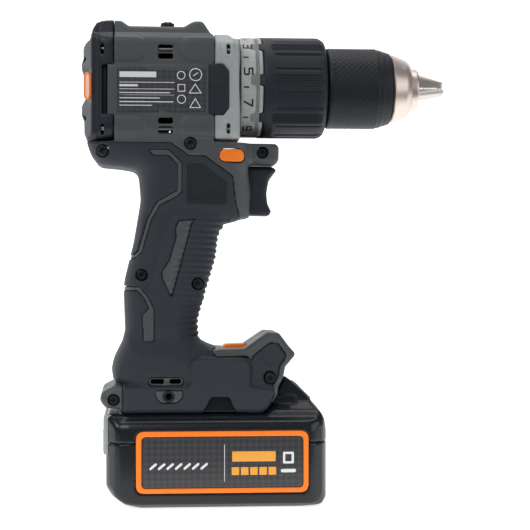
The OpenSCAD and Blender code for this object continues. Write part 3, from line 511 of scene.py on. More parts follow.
def net(field, grid):
    """Points and quads where the field is zero."""
    field = np.ascontiguousarray(field, np.float32)
    n = [s - 1 for s in field.shape]
    inside = field < 0.0
    count = np.zeros(n, np.uint8)
    for i, j, k in CORNERS:
        count += inside[i:i + n[0], j:j + n[1], k:k + n[2]]
    cells = np.argwhere((count > 0) & (count < 8))
    number = np.full(n, -1, np.int32)
    number[tuple(cells.T)] = np.arange(len(cells))
    values = [field[cells[:, 0] + i, cells[:, 1] + j, cells[:, 2] + k] for i, j, k in CORNERS]
    place = np.zeros((len(cells), 3), np.float64)
    hits = np.zeros(len(cells))
    for a, b in EDGES:
        va, vb = values[a], values[b]
        crossed = (va < 0.0) != (vb < 0.0)
        t = np.where(crossed, va / np.where(crossed, va - vb, 1.0), 0.0)
        pa, pb = np.array(CORNERS[a], float), np.array(CORNERS[b], float)
        place += np.where(crossed[:, None], pa + t[:, None] * (pb - pa), 0.0)
        hits += crossed
    points = (cells + place / hits[:, None]) * grid.step + np.array(grid.low)
    quads = []
    for axis in range(3):
        u, v = (axis + 1) % 3, (axis + 2) % 3
        low = [slice(1, n[d]) for d in range(3)]
        low[axis] = slice(0, n[axis])
        high = list(low)
        high[axis] = slice(1, n[axis] + 1)
        a, b = inside[tuple(low)], inside[tuple(high)]
        at = np.argwhere(a != b)
        for d in (u, v):
            at[:, d] += 1
        start = inside[tuple(at.T)]
        ring = []
        for du, dv in ((1, 1), (0, 1), (0, 0), (1, 0)):
            cell = at.copy()
            cell[:, u] -= du
            cell[:, v] -= dv
            ring.append(number[tuple(cell.T)])
        ring = np.stack(ring, 1)
        ring[~start] = ring[~start][:, ::-1]
        quads.append(ring)
    return points * MM, np.concatenate(quads)


def mesh_of(name, points, quads):
    mesh = bpy.data.meshes.new(name)
    mesh.vertices.add(len(points))
    mesh.vertices.foreach_set("co", np.asarray(points, np.float32).ravel())
    mesh.loops.add(quads.size)
    mesh.loops.foreach_set("vertex_index", quads.ravel().astype(np.int32))
    mesh.polygons.add(len(quads))
    mesh.polygons.foreach_set("loop_start", np.arange(0, quads.size, 4, dtype=np.int32))
    mesh.update(calc_edges=True)
    mesh.validate()
    mesh.shade_smooth()
    return mesh


def finish_piece(name, mesh, body, finish, replaced=()):
    """Names a mesh as a piece of the tool, with its material, its body and the CAD nodes it stands for."""
    piece = bpy.data.objects.new(name, mesh)
    scene.collection.objects.link(piece)
    mesh.materials.clear()
    mesh.materials.append(finishes[finish].material)
    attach(piece, body)
    if replaced:
        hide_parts(*replaced)
    return piece


def thinned(mesh, faces):
    """The same mesh with fewer triangles where it is flat."""
    count = 2 * len(mesh.polygons)
    if count <= faces:
        return mesh
    holder = bpy.data.objects.new("holder", mesh)
    scene.collection.objects.link(holder)
    thin = holder.modifiers.new("thin", "DECIMATE")
    thin.ratio = faces / count
    done = bpy.data.meshes.new_from_object(holder.evaluated_get(bpy.context.evaluated_depsgraph_get()))
    bpy.data.objects.remove(holder)
    done.shade_smooth()
    return done


def solid(name, grid, field, body, finish, replaced=(), faces=150000):
    points, quads = net(field, grid)
    mesh = thinned(mesh_of(name, points, quads), faces)
    print(f"{name}: {len(mesh.polygons)} faces")
    return finish_piece(name, mesh, body, finish, replaced)


STEP = 0.6

# %% [markdown]
# ## Outlines of the body
# Side outlines are in millimetres: forward, up, and the radius of each corner. The chuck's axis is at 218 mm.

# %% Outlines of the body
AXIS = 218.0
BARREL_SIDE = [
    (-70.8, 200, 3), (-70.8, 238.5, 2), (-67.6, 240.5, 2), (-65.0, 247, 3), (-61.5, 250.7, 3),
    (-50.2, 251.0, 2.5),
    (-46.2, 247.6, 3), (-17.5, 247.4, 3), (-12.0, 251.2, 2.5), (-8.2, 251.2, 2.0), (-4.2, 244.6, 1.0),
    (-2.4, 242.8, 0.5), (-2.5, 187.4, 0.3),
    (-66, 187.4, 1), (-68.6, 190.5, 3), (-69.6, 198, 2),
]
# Half of the section across the axis: out to the side, up, radius
BARREL_SECTION = [
    (-9, 187.2, 0), (22, 187.2, 4), (30.6, 192.5, 8), (30.6, 239.4, 5), (26.4, 243.3, 0.6),
    (22.4, 243.3, 0.5),
    (19.4, 251.3, 4), (-9, 251.3, 0),
]
GRIP_SIDE = [
    (-69.0, 200, 0), (-68.6, 189.7, 4), (-66.0, 182.0, 6), (-61.6, 175.9, 6), (-50, 174.8, 6),
    (-41.2, 173.2, 8),
    (-39.9, 158, 25), (-43.6, 136, 40), (-49.0, 114, 35), (-48.2, 92, 20), (-47.0, 84, 6), (-52.0, 72, 7),
    (-50.2, 64, 4), (-48, 58, 0), (2, 58, 0), (4, 72, 3), (-4.0, 79.6, 3), (-9.2, 84.2, 3), (-9.9, 95, 14),
    (-5.6, 110.5, 25), (-0.6, 127, 25), (1.1, 140.5, 10), (4.9, 145.8, 4), (12.0, 147.6, 3),
    (17.3, 148.2, 1.5),
    (17.8, 162, 20), (16.2, 172, 8), (16.0, 200, 0),
]
GUARD_SIDE = [
    (6, 177.0, 0), (14, 177.0, 0), (30.6, 176.6, 1.5), (32.2, 179, 2), (32.3, 186.6, 3.5), (25, 189.6, 6),
    (12, 190.4, 0), (6, 190.4, 0),
]
SKIRT_SIDE = [
    (-46.6, 86, 3), (-52.6, 75.4, 5), (-54.0, 70.0, 4), (-53.6, 65.2, 3), (-44, 60, 0), (10, 60, 0),
    (12, 78, 4), (-4, 80.2, 4),
]
BAND_SIDE = [
    (-49.8, 48.2, 3.0), (-49.8, 62.2, 2.5), (30, 62.8, 3), (30.5, 58, 3), (24.6, 49.5, 3), (21, 48.2, 3),
]
BLOCK_SIDE = [(-15.6, 58, 0), (-15.6, 76.6, 7), (16.2, 76.6, 7), (17.4, 58, 0)]
HEAD_SIDE = [
    (-5.0, 77.5, 1), (-4.0, 79.6, 1), (1.0, 80.4, 1), (13.6, 80.7, 1.5), (25.8, 89.1, 2), (31.9, 88.7, 2),
    (36.6, 82.2, 1),
    (39.9, 78.4, 1.2), (39.6, 76.8, 0.8), (34.6, 71.4, 1.5), (33.4, 66.6, 2), (24.8, 50.6, 2),
    (22, 48.4, 2), (16, 48.4, 0), (14, 76, 0),
]
TAIL_SIDE = [
    (-45, 62.4, 0), (-53.6, 62.4, 2), (-60.0, 59.0, 3), (-61.0, 54.8, 4), (-57.8, 51.0, 3),
    (-51.0, 50.2, 2), (-49.6, 48.4, 1),
    (-45, 48.4, 0),
]


def width_of(z, levels):
    """A width that changes smoothly with height: levels are (height, width)."""
    heights, widths = zip(*levels)
    return np.interp(z, heights, widths).astype(np.float32)


GRIP_WIDTH = [(58, 25), (80, 20.5), (92, 18.0), (110, 18.6), (135, 18.6), (150, 18.8), (165, 21),
              (176, 24.5), (190, 27.5), (200, 28)]

# %% Body form


def barrel(g):
    side = outline(BARREL_SIDE, g.x, g.z)
    section = outline(BARREL_SECTION, np.abs(g.y), g.z)
    plan = outline([(-70.9, -9, 0), (-70.9, 18, 6), (-64.5, 27.8, 8), (-57.4, 31.5, 6), (40, 31.5, 0),
                    (40, -9, 0)], g.x, np.abs(g.y))
    return meet(meet(side, section, 2.0), plan, 2.0)


def grip(g):
    side = outline(GRIP_SIDE, g.x, g.z)
    return meet(side, np.abs(g.y) - width_of(g.z, GRIP_WIDTH), 12.0)


def foot(g):
    wide = np.abs(g.y)
    skirt = meet(outline(SKIRT_SIDE, g.x, g.z), wide - width_of(g.z, [(60, 32), (70, 30), (88, 19)]), 9.0)
    band = meet(outline(BAND_SIDE, g.x, g.z), wide - 33.0, 4.0)
    block = meet(outline(BLOCK_SIDE, g.x, g.z), wide - 32.0, 3.5)
    head = meet(outline(HEAD_SIDE, g.x, g.z),
                wide - width_of(g.z, [(48, 31.5), (66, 29.5), (78, 24), (90, 19)]), 2.5)
    tail = meet(outline(TAIL_SIDE, g.x, g.z), wide - 30.5, 3.0)
    return join(join(join(skirt, head, 2.0), join(band, block, 1.0), 1.2), tail, 1.0)


def guard(g):
    return meet(outline(GUARD_SIDE, g.x, g.z), np.abs(g.y) - width_of(g.z, [(176, 15.5), (190, 17.5)]), 4.0)


def body_form(g):
    lower = join(join(grip(g), foot(g), 7.0), guard(g), 3.0)
    return join(lower, barrel(g), 2.5)


# %% [markdown]
# ## Relief
# Pads, ribs, seams and drawn lines lie on the sides of the tool. Each is an outline seen from the side with a height,
# and the sum of all heights is added to the distance.

# %% Relief of the sides
SEAM = [
    (-75, 187.2), (-24.9, 187.2), (-15.4, 180.6), (-6.7, 180.2), (7.6, 170.2), (9.3, 156.5), (11.6, 148.4),
    (11.8, 130),
]
SOFT_AREA = SEAM + [
    (9.0, 112), (8.6, 88), (1.0, 81.6), (-3.4, 79.4), (-1.2, 76.6), (15.4, 76.4), (18.6, 73.5),
    (21.5, 62.5), (27.8, 62.0),
    (28.5, 58), (24.0, 47), (-49.4, 47), (-49.4, 62.6), (-54, 64.4), (-75, 66),
]
STRIPE = [
    (-36.3, 183.3), (-25.2, 183.3), (-18.9, 176.9), (-18.9, 161.6), (-22.0, 159.2), (-30.2, 155.0),
    (-34.6, 147.0), (-39.2, 130.6),
    (-43.0, 127.4), (-52, 126.2), (-52, 128.2), (-43.9, 128.8), (-41.2, 131.4), (-36.4, 148.2),
    (-31.4, 156.8), (-20.8, 162.6),
    (-20.8, 175.9), (-25.9, 180.5), (-33.4, 180.5),
]
STRIPE_LOW = [
    (-52, 113.0), (-40.6, 112.6), (-36.2, 107.4), (-33.4, 102.0), (-33.0, 96.2), (-33.2, 84.6),
    (-38.4, 84.6), (-39.2, 97.6),
    (-35.6, 101.4), (-38.0, 106.6), (-41.6, 110.6), (-52, 111.0),
]
INLAY = [
    (-20.3, 147.0, 1), (-11.4, 147.6, 0.4), (-13.7, 145.4, 0.4), (-14.5, 142.0, 1), (-23.3, 109.4, 1),
    (-24.1, 107.2, 0.4),
    (-28.9, 117.2, 1), (-29.1, 120.6, 1), (-25.2, 126.2, 1), (-21.6, 138.8, 1), (-22.2, 143.0, 1),
]
TEXTURE = [
    (-16.2, 176.4, 1.5), (-8.2, 176.4, 1.5), (4.4, 167.2, 1.5), (4.6, 156.2, 1.5), (-6.8, 155.6, 1.5),
    (-10.1, 158.2, 1), (-16.2, 158.4, 1.5),
]


HEAD_FRAME = [
    (16.0, 62, 1), (17.6, 76.8, 2), (26.6, 83.6, 2), (31.2, 83.4, 2), (35.2, 77.8, 2), (34.6, 75.6, 1),
    (31.6, 71.4, 2), (31.0, 67.2, 2),
    (26.4, 59.6, 2),
]
NOTCH = [(-8.3, 40, 0), (-8.3, 48.6, 1), (-4.2, 56.5, 1.6), (5.2, 56.5, 1.6), (8.7, 48.6, 1), (8.7, 40, 0)]


class Sides:
    """The outlines on the sides of the body, worked out once for a grid."""

    def __init__(self, g):
        x, z = g.x, g.z
        self.head = outline(HEAD_FRAME, x, z)
        self.soft = np.minimum(outline([(a, b, 1.0) for a, b in SOFT_AREA], x, z), self.head)
        self.stripe = np.minimum(outline([(a, b, 0.6) for a, b in STRIPE], x, z),
                                 outline([(a, b, 0.6) for a, b in STRIPE_LOW], x, z))
        self.inlay = outline(INLAY, x, z)
        self.texture = outline(TEXTURE, x, z)
        self.band = oblong(x, z, -57.2, -5.7, 201.0, 226.2)
        self.vent_rim = oblong(x, z, -35.9, -18.3, 62.3, 66.5, 1.6)
        self.vent_panel = outline([(-41.0, 60.6, 0), (-37.3, 67.8, 3), (-34.0, 68.8, 1), (-16.7, 68.8, 1),
                                   (-16.4, 60.6, 0)], x, z)
        self.hook = outline([(-32.4, 59.9, 0.8), (-18.6, 59.9, 0.8), (-18.8, 56.2, 2), (-21.6, 53.6, 2.5),
                             (-29.4, 53.6, 2.5), (-32.2, 56.2, 2)], x, z)
        self.notch = outline(NOTCH, x, z)


def pads(g):
    """Raised finger-shaped pads on the barrel, above and below the marking plate."""
    total = 0.0
    for low, high in ((228.6, 240.8), (190.0, 200.2)):
        total = total + soft_step(oblong(g.x, g.z, -70, -37.6, low, high, 5.0), 1.4)
        total = total + soft_step(oblong(g.x, g.z, -19.4, 10, low, high, 5.0), 1.4)
    return total


def ridges(z, pitch, share=0.5):
    """Rounded ridges with height: 1 on a ridge, 0 in a groove."""
    wave = 0.5 + 0.5 * np.cos(2.0 * math.pi * z / pitch)
    return np.clip((wave - 0.5 + share / 2.0) / share, 0.0, 1.0)


HOLLOW = [
    (-37, 150, 6), (-22, 156, 6), (2, 152, 6), (-2, 148.6, 3), (-22.4, 149.4, 4), (-34.0, 112, 6),
    (-30.4, 84, 5), (-36.5, 84, 5),
    (-38.6, 112, 8),
]


def front_ribs(g):
    """Grooves across the front of the grip, under the fingers."""
    upper = outline([(-15.6, 147.5, 0), (6, 150, 0), (6, 108, 0), (-25.6, 107.4, 1)], g.x, g.z)
    lower = outline([(-19.6, 105.2, 1), (8, 105.2, 0), (8, 85.4, 0), (-19.6, 85.4, 1)], g.x, g.z)
    ribs = np.minimum(upper, lower)
    return -0.75 * soft_step(ribs, 1.0) * (1.0 - ridges(g.z, 3.05, 0.7))


def grip_relief(g, sides):
    """Relief that both the hard shell and the soft skin share."""
    total = front_ribs(g)
    total = total - 0.45 * soft_step(sides.texture, 0.6)
    hollow = outline(HOLLOW, g.x, g.z)
    total = total - 0.9 * soft_step(hollow, 5.0)
    # The lamp head's sides lie deeper inside their frame, with a small lozenge; the vents have a raised field
    lozenge = outline([(21.0, 76.5, 1), (27.6, 80.4, 1), (31.0, 77.8, 1), (27.4, 71.8, 1)], g.x, g.z)
    total = total - 0.9 * soft_step(sides.head, 0.9) - 0.6 * soft_step(lozenge, 0.8)
    return total + 0.5 * soft_step(sides.vent_panel, 0.8) * (g.z > 62.0)


# %% [markdown]
# ## Shells
# Each hard shell shows on the barrel, round the trigger, in the stripes of the grip and at the lamp. Under the soft
# skin it lies 1.7 mm deeper. It is hollow, with walls of 2.6 mm.

# %% Shells
CASE_SCREWS = [(-59.3, 182.9), (-14.5, 186.6), (23.5, 182.7), (-39.4, 118.8), (-10.5, 114.3), (-53.7, 55.2),
               (26.4, 66.0)]
SKIN = 1.7
WALL = 2.6


def vents(g):
    """Slots through the sides of the barrel."""
    slots = None
    for low, high in ((233.0, 236.6), (229.4, 232.2), (196.3, 199.3), (191.4, 195.0)):
        one = oblong(g.x, g.z, -31.0, -23.6, low, high, 0.5)
        slots = one if slots is None else np.minimum(slots, one)
    return slots


def shell_field(g, side):
    """Distance to one hard shell: side -1 right, 1 left."""
    s = Sides(g)
    form = body_form(g)
    # Barrel: pads and the band that frames the marking plate
    upper = soft_step(184.5 - g.z, 2.0)
    relief = upper * (1.2 * pads(g) + 1.0 * soft_step(s.band, 1.0))
    relief = relief + (1.0 - upper) * grip_relief(g, s)
    # Under the skin the shell lies deeper; the stripes and the rims come up to the surface
    shown = np.minimum(s.stripe, np.minimum(s.hook, s.vent_rim))
    covered = np.maximum(s.soft, -shown)
    depth = np.where(covered < 0.0, SKIN + 0.05, 0.0) + np.where((s.soft < 0.0) & (shown < 0.0), 0.35, 0.0)
    outer = form - relief + depth
    # The barrel is cut off at its front and where the cap begins
    field = meet(outer, -(outer + WALL))
    front = np.where(g.z > 187.6, -2.45, 60.0)
    back = np.where((g.z > 226.6) | (g.z < 200.6), -53.4, -56.8)
    field = np.maximum(field, g.x - front)
    field = np.maximum(field, np.where(g.z > 187.4, back - g.x, -90.0))
    field = np.maximum(field, side * -g.y + 0.02)
    return cut_openings(g, s, field, side)


def cut_openings(g, s, field, side):
    """Vents, screw recesses, the trigger's slot, the direction bar and the pack's space."""
    wide = np.abs(g.y)
    field = cut(field, meet(vents(g), 20.0 - wide))
    if side < 0:
        for x, z in CASE_SCREWS:
            field = cut(field, disc(g.x, g.z, x, z, 3.1), 0.35)
    slot = meet(oblong(g.x, g.z, 13.0, 60.0, 146.0, 176.5, 1.0), wide - 9.7)
    field = cut(field, slot, 0.5)
    field = cut(field, meet(oblong(g.x, g.z, -3.0, 20.0, 150.4, 176.4, 0.5), wide - 9.7))
    field = cut(field, oblong(g.x, g.z, 0.2, 13.9, 177.0, 184.1, 3.5), 0.4)
    field = cut(field, meet(s.notch, 27.0 - wide), 0.4)
    foot_vents = np.minimum(oblong(g.x, g.z, -34.9, -28.1, 63.2, 65.7, 0.8),
                            oblong(g.x, g.z, -25.3, -19.3, 63.2, 65.7, 1.2))
    field = cut(field, meet(foot_vents, 18.0 - wide), 0.2)
    field = cut(field, meet(disc(g.x, g.z, -25.8, 56.9, 1.9), 20.0 - wide), 0.2)
    rails = meet(oblong(g.y, g.z, -60, 60, 30, 61.5),
                 np.minimum(oblong(g.y, g.z, -25.2, 25.2, 51.8, 61.5), oblong(g.y, g.z, -21, 21, 40, 61.5)))
    field = cut(field, meet(rails, -46.0 - g.x))
    return cut(field, meet(oblong(g.x, g.y, 2.4, 16.2, -8.0, 8.0, 1.0), 76.0 - g.z))


for side, name, node in ((-1, "shell_right", "housing_right"), (1, "shell_left", "housing_left")):
    g = Grid((-70, min(0, 34 * side), 47.5), (42.5, max(0, 34 * side), 253.5), STEP)
    solid(name, g, shell_field(g, side), "drill", "housing", (node,), 130000)

# %% [markdown]
# ## Soft skins
# The rubber is moulded over the shells and stops at a fine groove along every seam.

# %% Soft skins


def skin_field(g, side):
    s = Sides(g)
    outer = body_form(g) - grip_relief(g, s)
    shown = np.minimum(np.minimum(s.stripe, s.inlay), np.minimum(s.hook, s.vent_rim))
    area = cut(s.soft, shown)
    field = meet(outer, -(outer + SKIN - 0.1))
    field = meet(field, area + 0.18, 0.5)
    field = np.maximum(field, g.z - 187.1)
    field = np.maximum(field, side * -g.y + 0.03)
    for x, z in CASE_SCREWS:
        if side < 0:
            field = cut(field, disc(g.x, g.z, x, z, 3.2), 0.4)
    wide = np.abs(g.y)
    field = cut(field, meet(s.notch, 27.0 - wide), 0.5)
    field = cut(field, oblong(g.x, g.z, 0.2, 13.9, 177.0, 184.1, 3.5), 0.4)
    under = meet(g.z - 49.5, np.abs(g.y) - 26.0)
    return cut(field, under)


for side, name, node in ((-1, "skin_right", "overmould_right"), (1, "skin_left", "overmould_left")):
    g = Grid((-68, min(0, 34 * side), 47.5), (37, max(0, 34 * side), 188), STEP)
    solid(name, g, skin_field(g, side), "drill", "overmould", (node,), 110000)

# %% [markdown]
# ## Rear cap
# The dark cap closes the motor's end. It wraps over the housing above and below a grey block, with a black slot for
# air between them, and two narrow slots in each side. A shallow hollow runs across its back, where the badge sits.

# %% Rear cap
CAP_SIDE = [
    (-67.6, 187.5, 0), (-68.2, 190.0, 2), (-69.0, 191.4, 2), (-69.2, 199.2, 1), (-70.8, 201.4, 1.5),
    (-70.8, 228.4, 1.5),
    (-69.5, 230.4, 1), (-69.6, 236.2, 2.5), (-68.0, 238.6, 2), (-65.8, 239.8, 1.5), (-64.6, 245.6, 3),
    (-62.4, 249.4, 2.5),
    (-58.0, 250.6, 3), (-53.6, 250.9, 0.5), (-53.6, 187.5, 0),
]
CAP_PLAN = [(-70.8, -9, 0), (-70.8, 15, 3), (-65.0, 27.6, 4), (-57.2, 31.2, 5), (-40, 31.2, 0), (-40, -9, 0)]
BADGE_Z = 215.6


def cap_field(g):
    wide = np.abs(g.y)
    field = meet(outline(CAP_SIDE, g.x, g.z), outline(BARREL_SECTION, wide, g.z), 1.2)
    field = meet(field, outline(CAP_PLAN, g.x, wide), 1.2)
    hollow = soft_step(np.abs(g.z - BADGE_Z) - 7.4, 6.0) * soft_step(g.x + 66.0, 3.0)
    field = field + 2.6 * hollow
    field = field + 0.5 * soft_step(np.abs(g.x + 61.6) - 0.25, 0.5)
    # The grey block of the housing fills the middle; behind it runs a gap, 4 mm deep
    field = cut(field, meet(oblong(g.x, g.z, -56.9, -40, 200.9, 226.3), -1.0 - wide))
    field = cut(field, meet(oblong(g.x, g.z, -59.6, -50.0, 200.9, 226.3, 0.8), 26.6 - wide), 0.3)
    # Narrow slots in the corners and notches in the back edge
    for z in (234.2, 193.4):
        field = cut(field, meet(oblong(g.x, g.z, -60.2, -58.7, z - 2.7, z + 2.7, 0.5), 24.0 - wide))
    for z in (230.2, 199.6):
        field = cut(field, meet(oblong(g.x, g.z, -75.0, -67.9, z - 1.3, z + 1.3, 0.6), 17.0 - wide), 0.3)
    inside = meet(field + 2.6, -(g.x + 67.5))
    return meet(field, -inside)


g = Grid((-71, -32, 187), (-53, 32, 252), STEP)
solid("rear_cover", g, cap_field(g), "drill", "cap", ("rear_cap",), 70000)


def placed(name, grid, field, place, body, finish, replaced=(), faces=4000):
    """A small solid made about its own centre and then put in its place."""
    points, quads = net(field, grid)
    mesh = thinned(mesh_of(name, points, quads), faces)
    mesh.transform(place)
    return finish_piece(name, mesh, body, finish, replaced)


def badge(side, tag):
    """An upright oval on the bevel of the cap: an orange rim round a pale face."""
    g = Grid((-0.7, -2.7, -7.1), (1.0, 2.7, 7.1), 0.2)
    flat = oblong(g.y, g.z, -2.6, 2.6, -7.0, 7.0, 2.6)
    bevel = math.atan2(4.2, 5.5)
    turn = Matrix.Rotation(math.pi - side * bevel, 4, "Z")
    place = Matrix.Translation((-67.1 * MM, side * 25.75 * MM, BADGE_Z * MM)) @ turn
    rim = meet(np.maximum(flat, -flat - 0.9), np.abs(g.x + 0.05) - 0.65, 0.15)
    face = meet(flat + 0.8, np.abs(g.x + 0.15) - 0.45, 0.15)
    placed(f"badge_rim_{tag}", g, rim, place, "drill", "orange", ("rear_badge",) if side < 0 else ())
    placed(f"badge_face_{tag}", g, face, place, "drill", "badge")


badge(-1, "right")
badge(1, "left")

# %% [markdown]
# ## Turned parts
# The dial, the collar, the sleeve and the nose are turned: a closed profile of axial place and radius goes round the
# chuck's axis. A relief function can push each outside point in or out, for tabs, ridges and grooves.

# %% Turned parts


def dense(profile, spacing):
    """The closed profile with extra points, so that none is further apart than the spacing."""
    points = []
    for (xa, ra), (xb, rb) in zip(profile, profile[1:] + profile[:1]):
        n = max(1, int(math.ceil(math.hypot(xb - xa, rb - ra) / spacing)))
        points += [(xa + (xb - xa) * k / n, ra + (rb - ra) * k / n) for k in range(n)]
    return points


def turned(name, profile, around, body, finish, replaced=(), relief=None, spacing=1.0):
    """A ring turned about the chuck's axis; relief(x, r, angle) returns new x and r."""
    profile = np.array(dense(profile, spacing))
    angle = np.linspace(0.0, 2.0 * math.pi, around, endpoint=False)
    x = np.repeat(profile[:, :1], around, 1)
    r = np.repeat(profile[:, 1:], around, 1)
    turn = np.repeat(angle[None, :], len(profile), 0)
    if relief:
        x, r = relief(x, r, turn)
    points = np.stack([x, r * np.cos(turn), AXIS + r * np.sin(turn)], -1).reshape(-1, 3)
    i, j = np.meshgrid(np.arange(len(profile)), np.arange(around), indexing="ij")
    i2, j2 = (i + 1) % len(profile), (j + 1) % around
    quads = np.stack([i * around + j, i * around + j2, i2 * around + j2, i2 * around + j], -1).reshape(-1, 4)
    mesh = mesh_of(name, points * MM, quads)
    # A sharp turn of the profile stays a crisp edge
    mesh.set_sharp_from_angle(angle=math.radians(40))
    print(f"{name}: {len(mesh.polygons)} faces")
    return finish_piece(name, mesh, body, finish, replaced)


def near_angle(angle, centres):
    """Signed angle to the nearest of the centres."""
    away = angle[..., None] - np.asarray(centres)
    away = (away + math.pi) % (2.0 * math.pi) - math.pi
    pick = np.argmin(np.abs(away), -1)
    return np.take_along_axis(away, pick[..., None], -1)[..., 0]


# %% [markdown]
# ## Dial and collar
# Eight tabs of the pale dial reach into notches of the rubber collar, so that both turn as one. The collar has long
# thumb grooves on the tabs and fine ridges between them.

# %% Dial and collar
TABS = [math.radians(180.0 - a) for a in (70.7, 25.7, -19.3, -64.3, -109.3, -154.3, 160.7, 115.7)]
RING_R, COLLAR_R = 26.3, 26.6
RING_X, TAB_X = 20.6, 23.2


def tab_depth(angle):
    """How far the dial's edge reaches forward at this angle."""
    half = 7.6 / RING_R
    return RING_X + (TAB_X - RING_X) * soft_step((np.abs(near_angle(angle, TABS)) - half) * RING_R, 1.2)


def dial_relief(x, r, angle):
    return x + np.where(x > 22.0, tab_depth(angle) - 26.0, 0.0), r


turned("dial_ring", [(11.6, 21.5), (11.6, 25.4), (12.0, 26.1), (12.7, RING_R), (25.3, RING_R), (26.0, 25.8),
                     (26.0, 21.5)],
       360, "clutch_collar", "dial", ("number_ring",), dial_relief, 0.8)


def collar_relief(x, r, angle):
    edge = np.where(x < 25.5, tab_depth(angle) + 0.5 - 24.0, 0.0)
    away = near_angle(angle, TABS)
    side = np.abs(away) * COLLAR_R
    outside = r > 24.5
    groove = soft_step(np.abs(side - 4.4) - 0.55, 0.5) * soft_step(np.abs(x - 42.0) - 12.2, 2.0)
    thumb = soft_step(side - 5.4, 1.2) * soft_step(np.abs(x - 42.5) - 12.6, 3.0)
    fine = soft_step(-(side - 7.4), 1.0) * soft_step(np.abs(x - 41.5) - 13.6, 2.0)
    wave = 0.5 + 0.5 * np.cos(angle * 128.0)
    depth = 0.55 * groove + 0.35 * thumb + 0.45 * fine * wave
    return x + edge, np.where(outside, r - depth, r)


turned("clutch_grip", [(24.0, 23.0), (24.0, 26.1), (24.6, COLLAR_R), (30.0, COLLAR_R), (53.0, COLLAR_R),
                       (54.8, 26.0), (56.2, 24.9),
                       (57.0, 23.2), (57.2, 21.4), (56.6, 21.0), (30.0, 21.0)],
       768, "clutch_collar", "collar_rubber", ("collar_grip",), collar_relief, 0.9)

# %% [markdown]
# ## Numbers on the dial
# The dial carries the torque steps: odd numbers with a tick between them. They lie along the tool, tops to the front,
# as a right hand turns them past the pointer. Each is drawn as a stroke and wrapped round the ring as a thin solid.

# %% Numbers on the dial
DIGITS = {
    "1": [[(0.9, 3.6), (2.0, 4.6), (2.0, 0.0)]],
    "3": [[(0.0, 4.2), (3.2, 4.2), (3.2, 0.0), (0.0, 0.0)], [(0.6, 2.2), (3.2, 2.2)]],
    "5": [[(3.4, 4.2), (0.1, 4.2), (0.1, 2.4), (2.9, 2.4), (3.4, 1.9), (3.4, 0.5), (2.9, 0.0), (0.0, 0.0)]],
    "7": [[(0.0, 4.2), (3.4, 4.2), (1.0, 0.0)]],
    "9": [[(3.3, 2.0), (0.1, 2.0), (0.1, 4.2), (3.3, 4.2), (3.3, 0.0), (0.4, 0.0)]],
    "tick": [[(1.7, 0.0), (1.7, 2.0)]],
}


def stroke_solid(name, strokes, width, place, body, finish, thick=0.3):
    """Flat strokes as a closed thin solid; place(u, v, height) puts a drawn point on the piece."""
    u0, u1 = min(p[0] for q in strokes for p in q) - width, max(p[0] for q in strokes for p in q) + width
    v0, v1 = min(p[1] for q in strokes for p in q) - width, max(p[1] for q in strokes for p in q) + width
    g = Grid((u0, v0, 0.0), (u1, v1, thick), 0.15)
    flat = None
    for q in strokes:
        one = line(q, g.x, g.y, width)
        flat = one if flat is None else np.minimum(flat, one)
    field = np.maximum(flat, np.abs(g.z - thick / 2.0) - thick / 2.0)
    points, quads = net(field, g)
    points = points / MM
    points = place(points[:, 0], points[:, 1], points[:, 2])
    mesh = thinned(mesh_of(name, points * MM, quads), 900)
    return finish_piece(name, mesh, body, finish)


def on_dial(centre):
    """Puts a drawn figure on the ring: its top to the front, its right side down."""
    def place(u, v, h):
        angle = math.pi - math.radians(centre) + (u - 1.7) / RING_R
        r = RING_R - 0.16 + h
        return np.stack([13.4 + v, r * np.cos(angle), AXIS + r * np.sin(angle)], -1)
    return place


for n, figure in enumerate(("1", "tick", "3", "tick", "5", "tick", "7", "tick", "9", "tick")):
    stroke_solid(f"dial_mark_{n}", DIGITS[figure], 0.95, on_dial(85 - 18 * n), "clutch_collar", "ink")

# %% [markdown]
# ## Chuck
# The sleeve is dark moulded plastic over steel, knurled so that a hand can grip it; the nose and jaws are bare metal.

# %% Chuck


def sleeve_relief(x, r, angle):
    knurl = soft_step(np.abs(x - 72.6) - 11.6, 0.8) * (r > 20.5)
    turns = angle * 22.0
    cross = np.abs(np.sin(turns + x * 1.05)) * np.abs(np.sin(turns - x * 1.05))
    return x, r - knurl * 0.28 * (1.0 - np.sqrt(cross))


turned("sleeve", [(57.7, 17.0), (57.7, 19.7), (58.5, 21.0), (59.4, 21.3), (84.2, 21.3), (84.8, 20.9),
                  (87.2, 20.5), (87.8, 20.1),
                  (90.4, 19.4), (92.0, 18.8), (92.3, 16.0)],
       540, "chuck_sleeve", "sleeve", ("chuck_sleeve",), sleeve_relief, 0.55)


def nose_relief(x, r, angle):
    """Three openings for the jaws in the front face."""
    away = near_angle(angle, [math.radians(90.0 + 120.0 * k) for k in range(3)])
    slot = soft_step(np.abs(away) * 6.0 - 2.6, 0.6) * (x > 102.0) * (r < 10.0)
    return x - 2.0 * slot, r


turned("nose", [(61.0, 4.2), (61.0, 13.4), (86.3, 13.4), (86.3, 11.6), (92.6, 11.6), (92.8, 17.6),
                (93.7, 18.3), (97.2, 16.8), (100.4, 15.6),
                (102.2, 14.2), (103.2, 12.9), (103.6, 10.9), (106.8, 10.6), (107.4, 10.0), (107.4, 4.2)],
       360, "spindle", "nose", ("chuck_body",), nose_relief, 0.9)


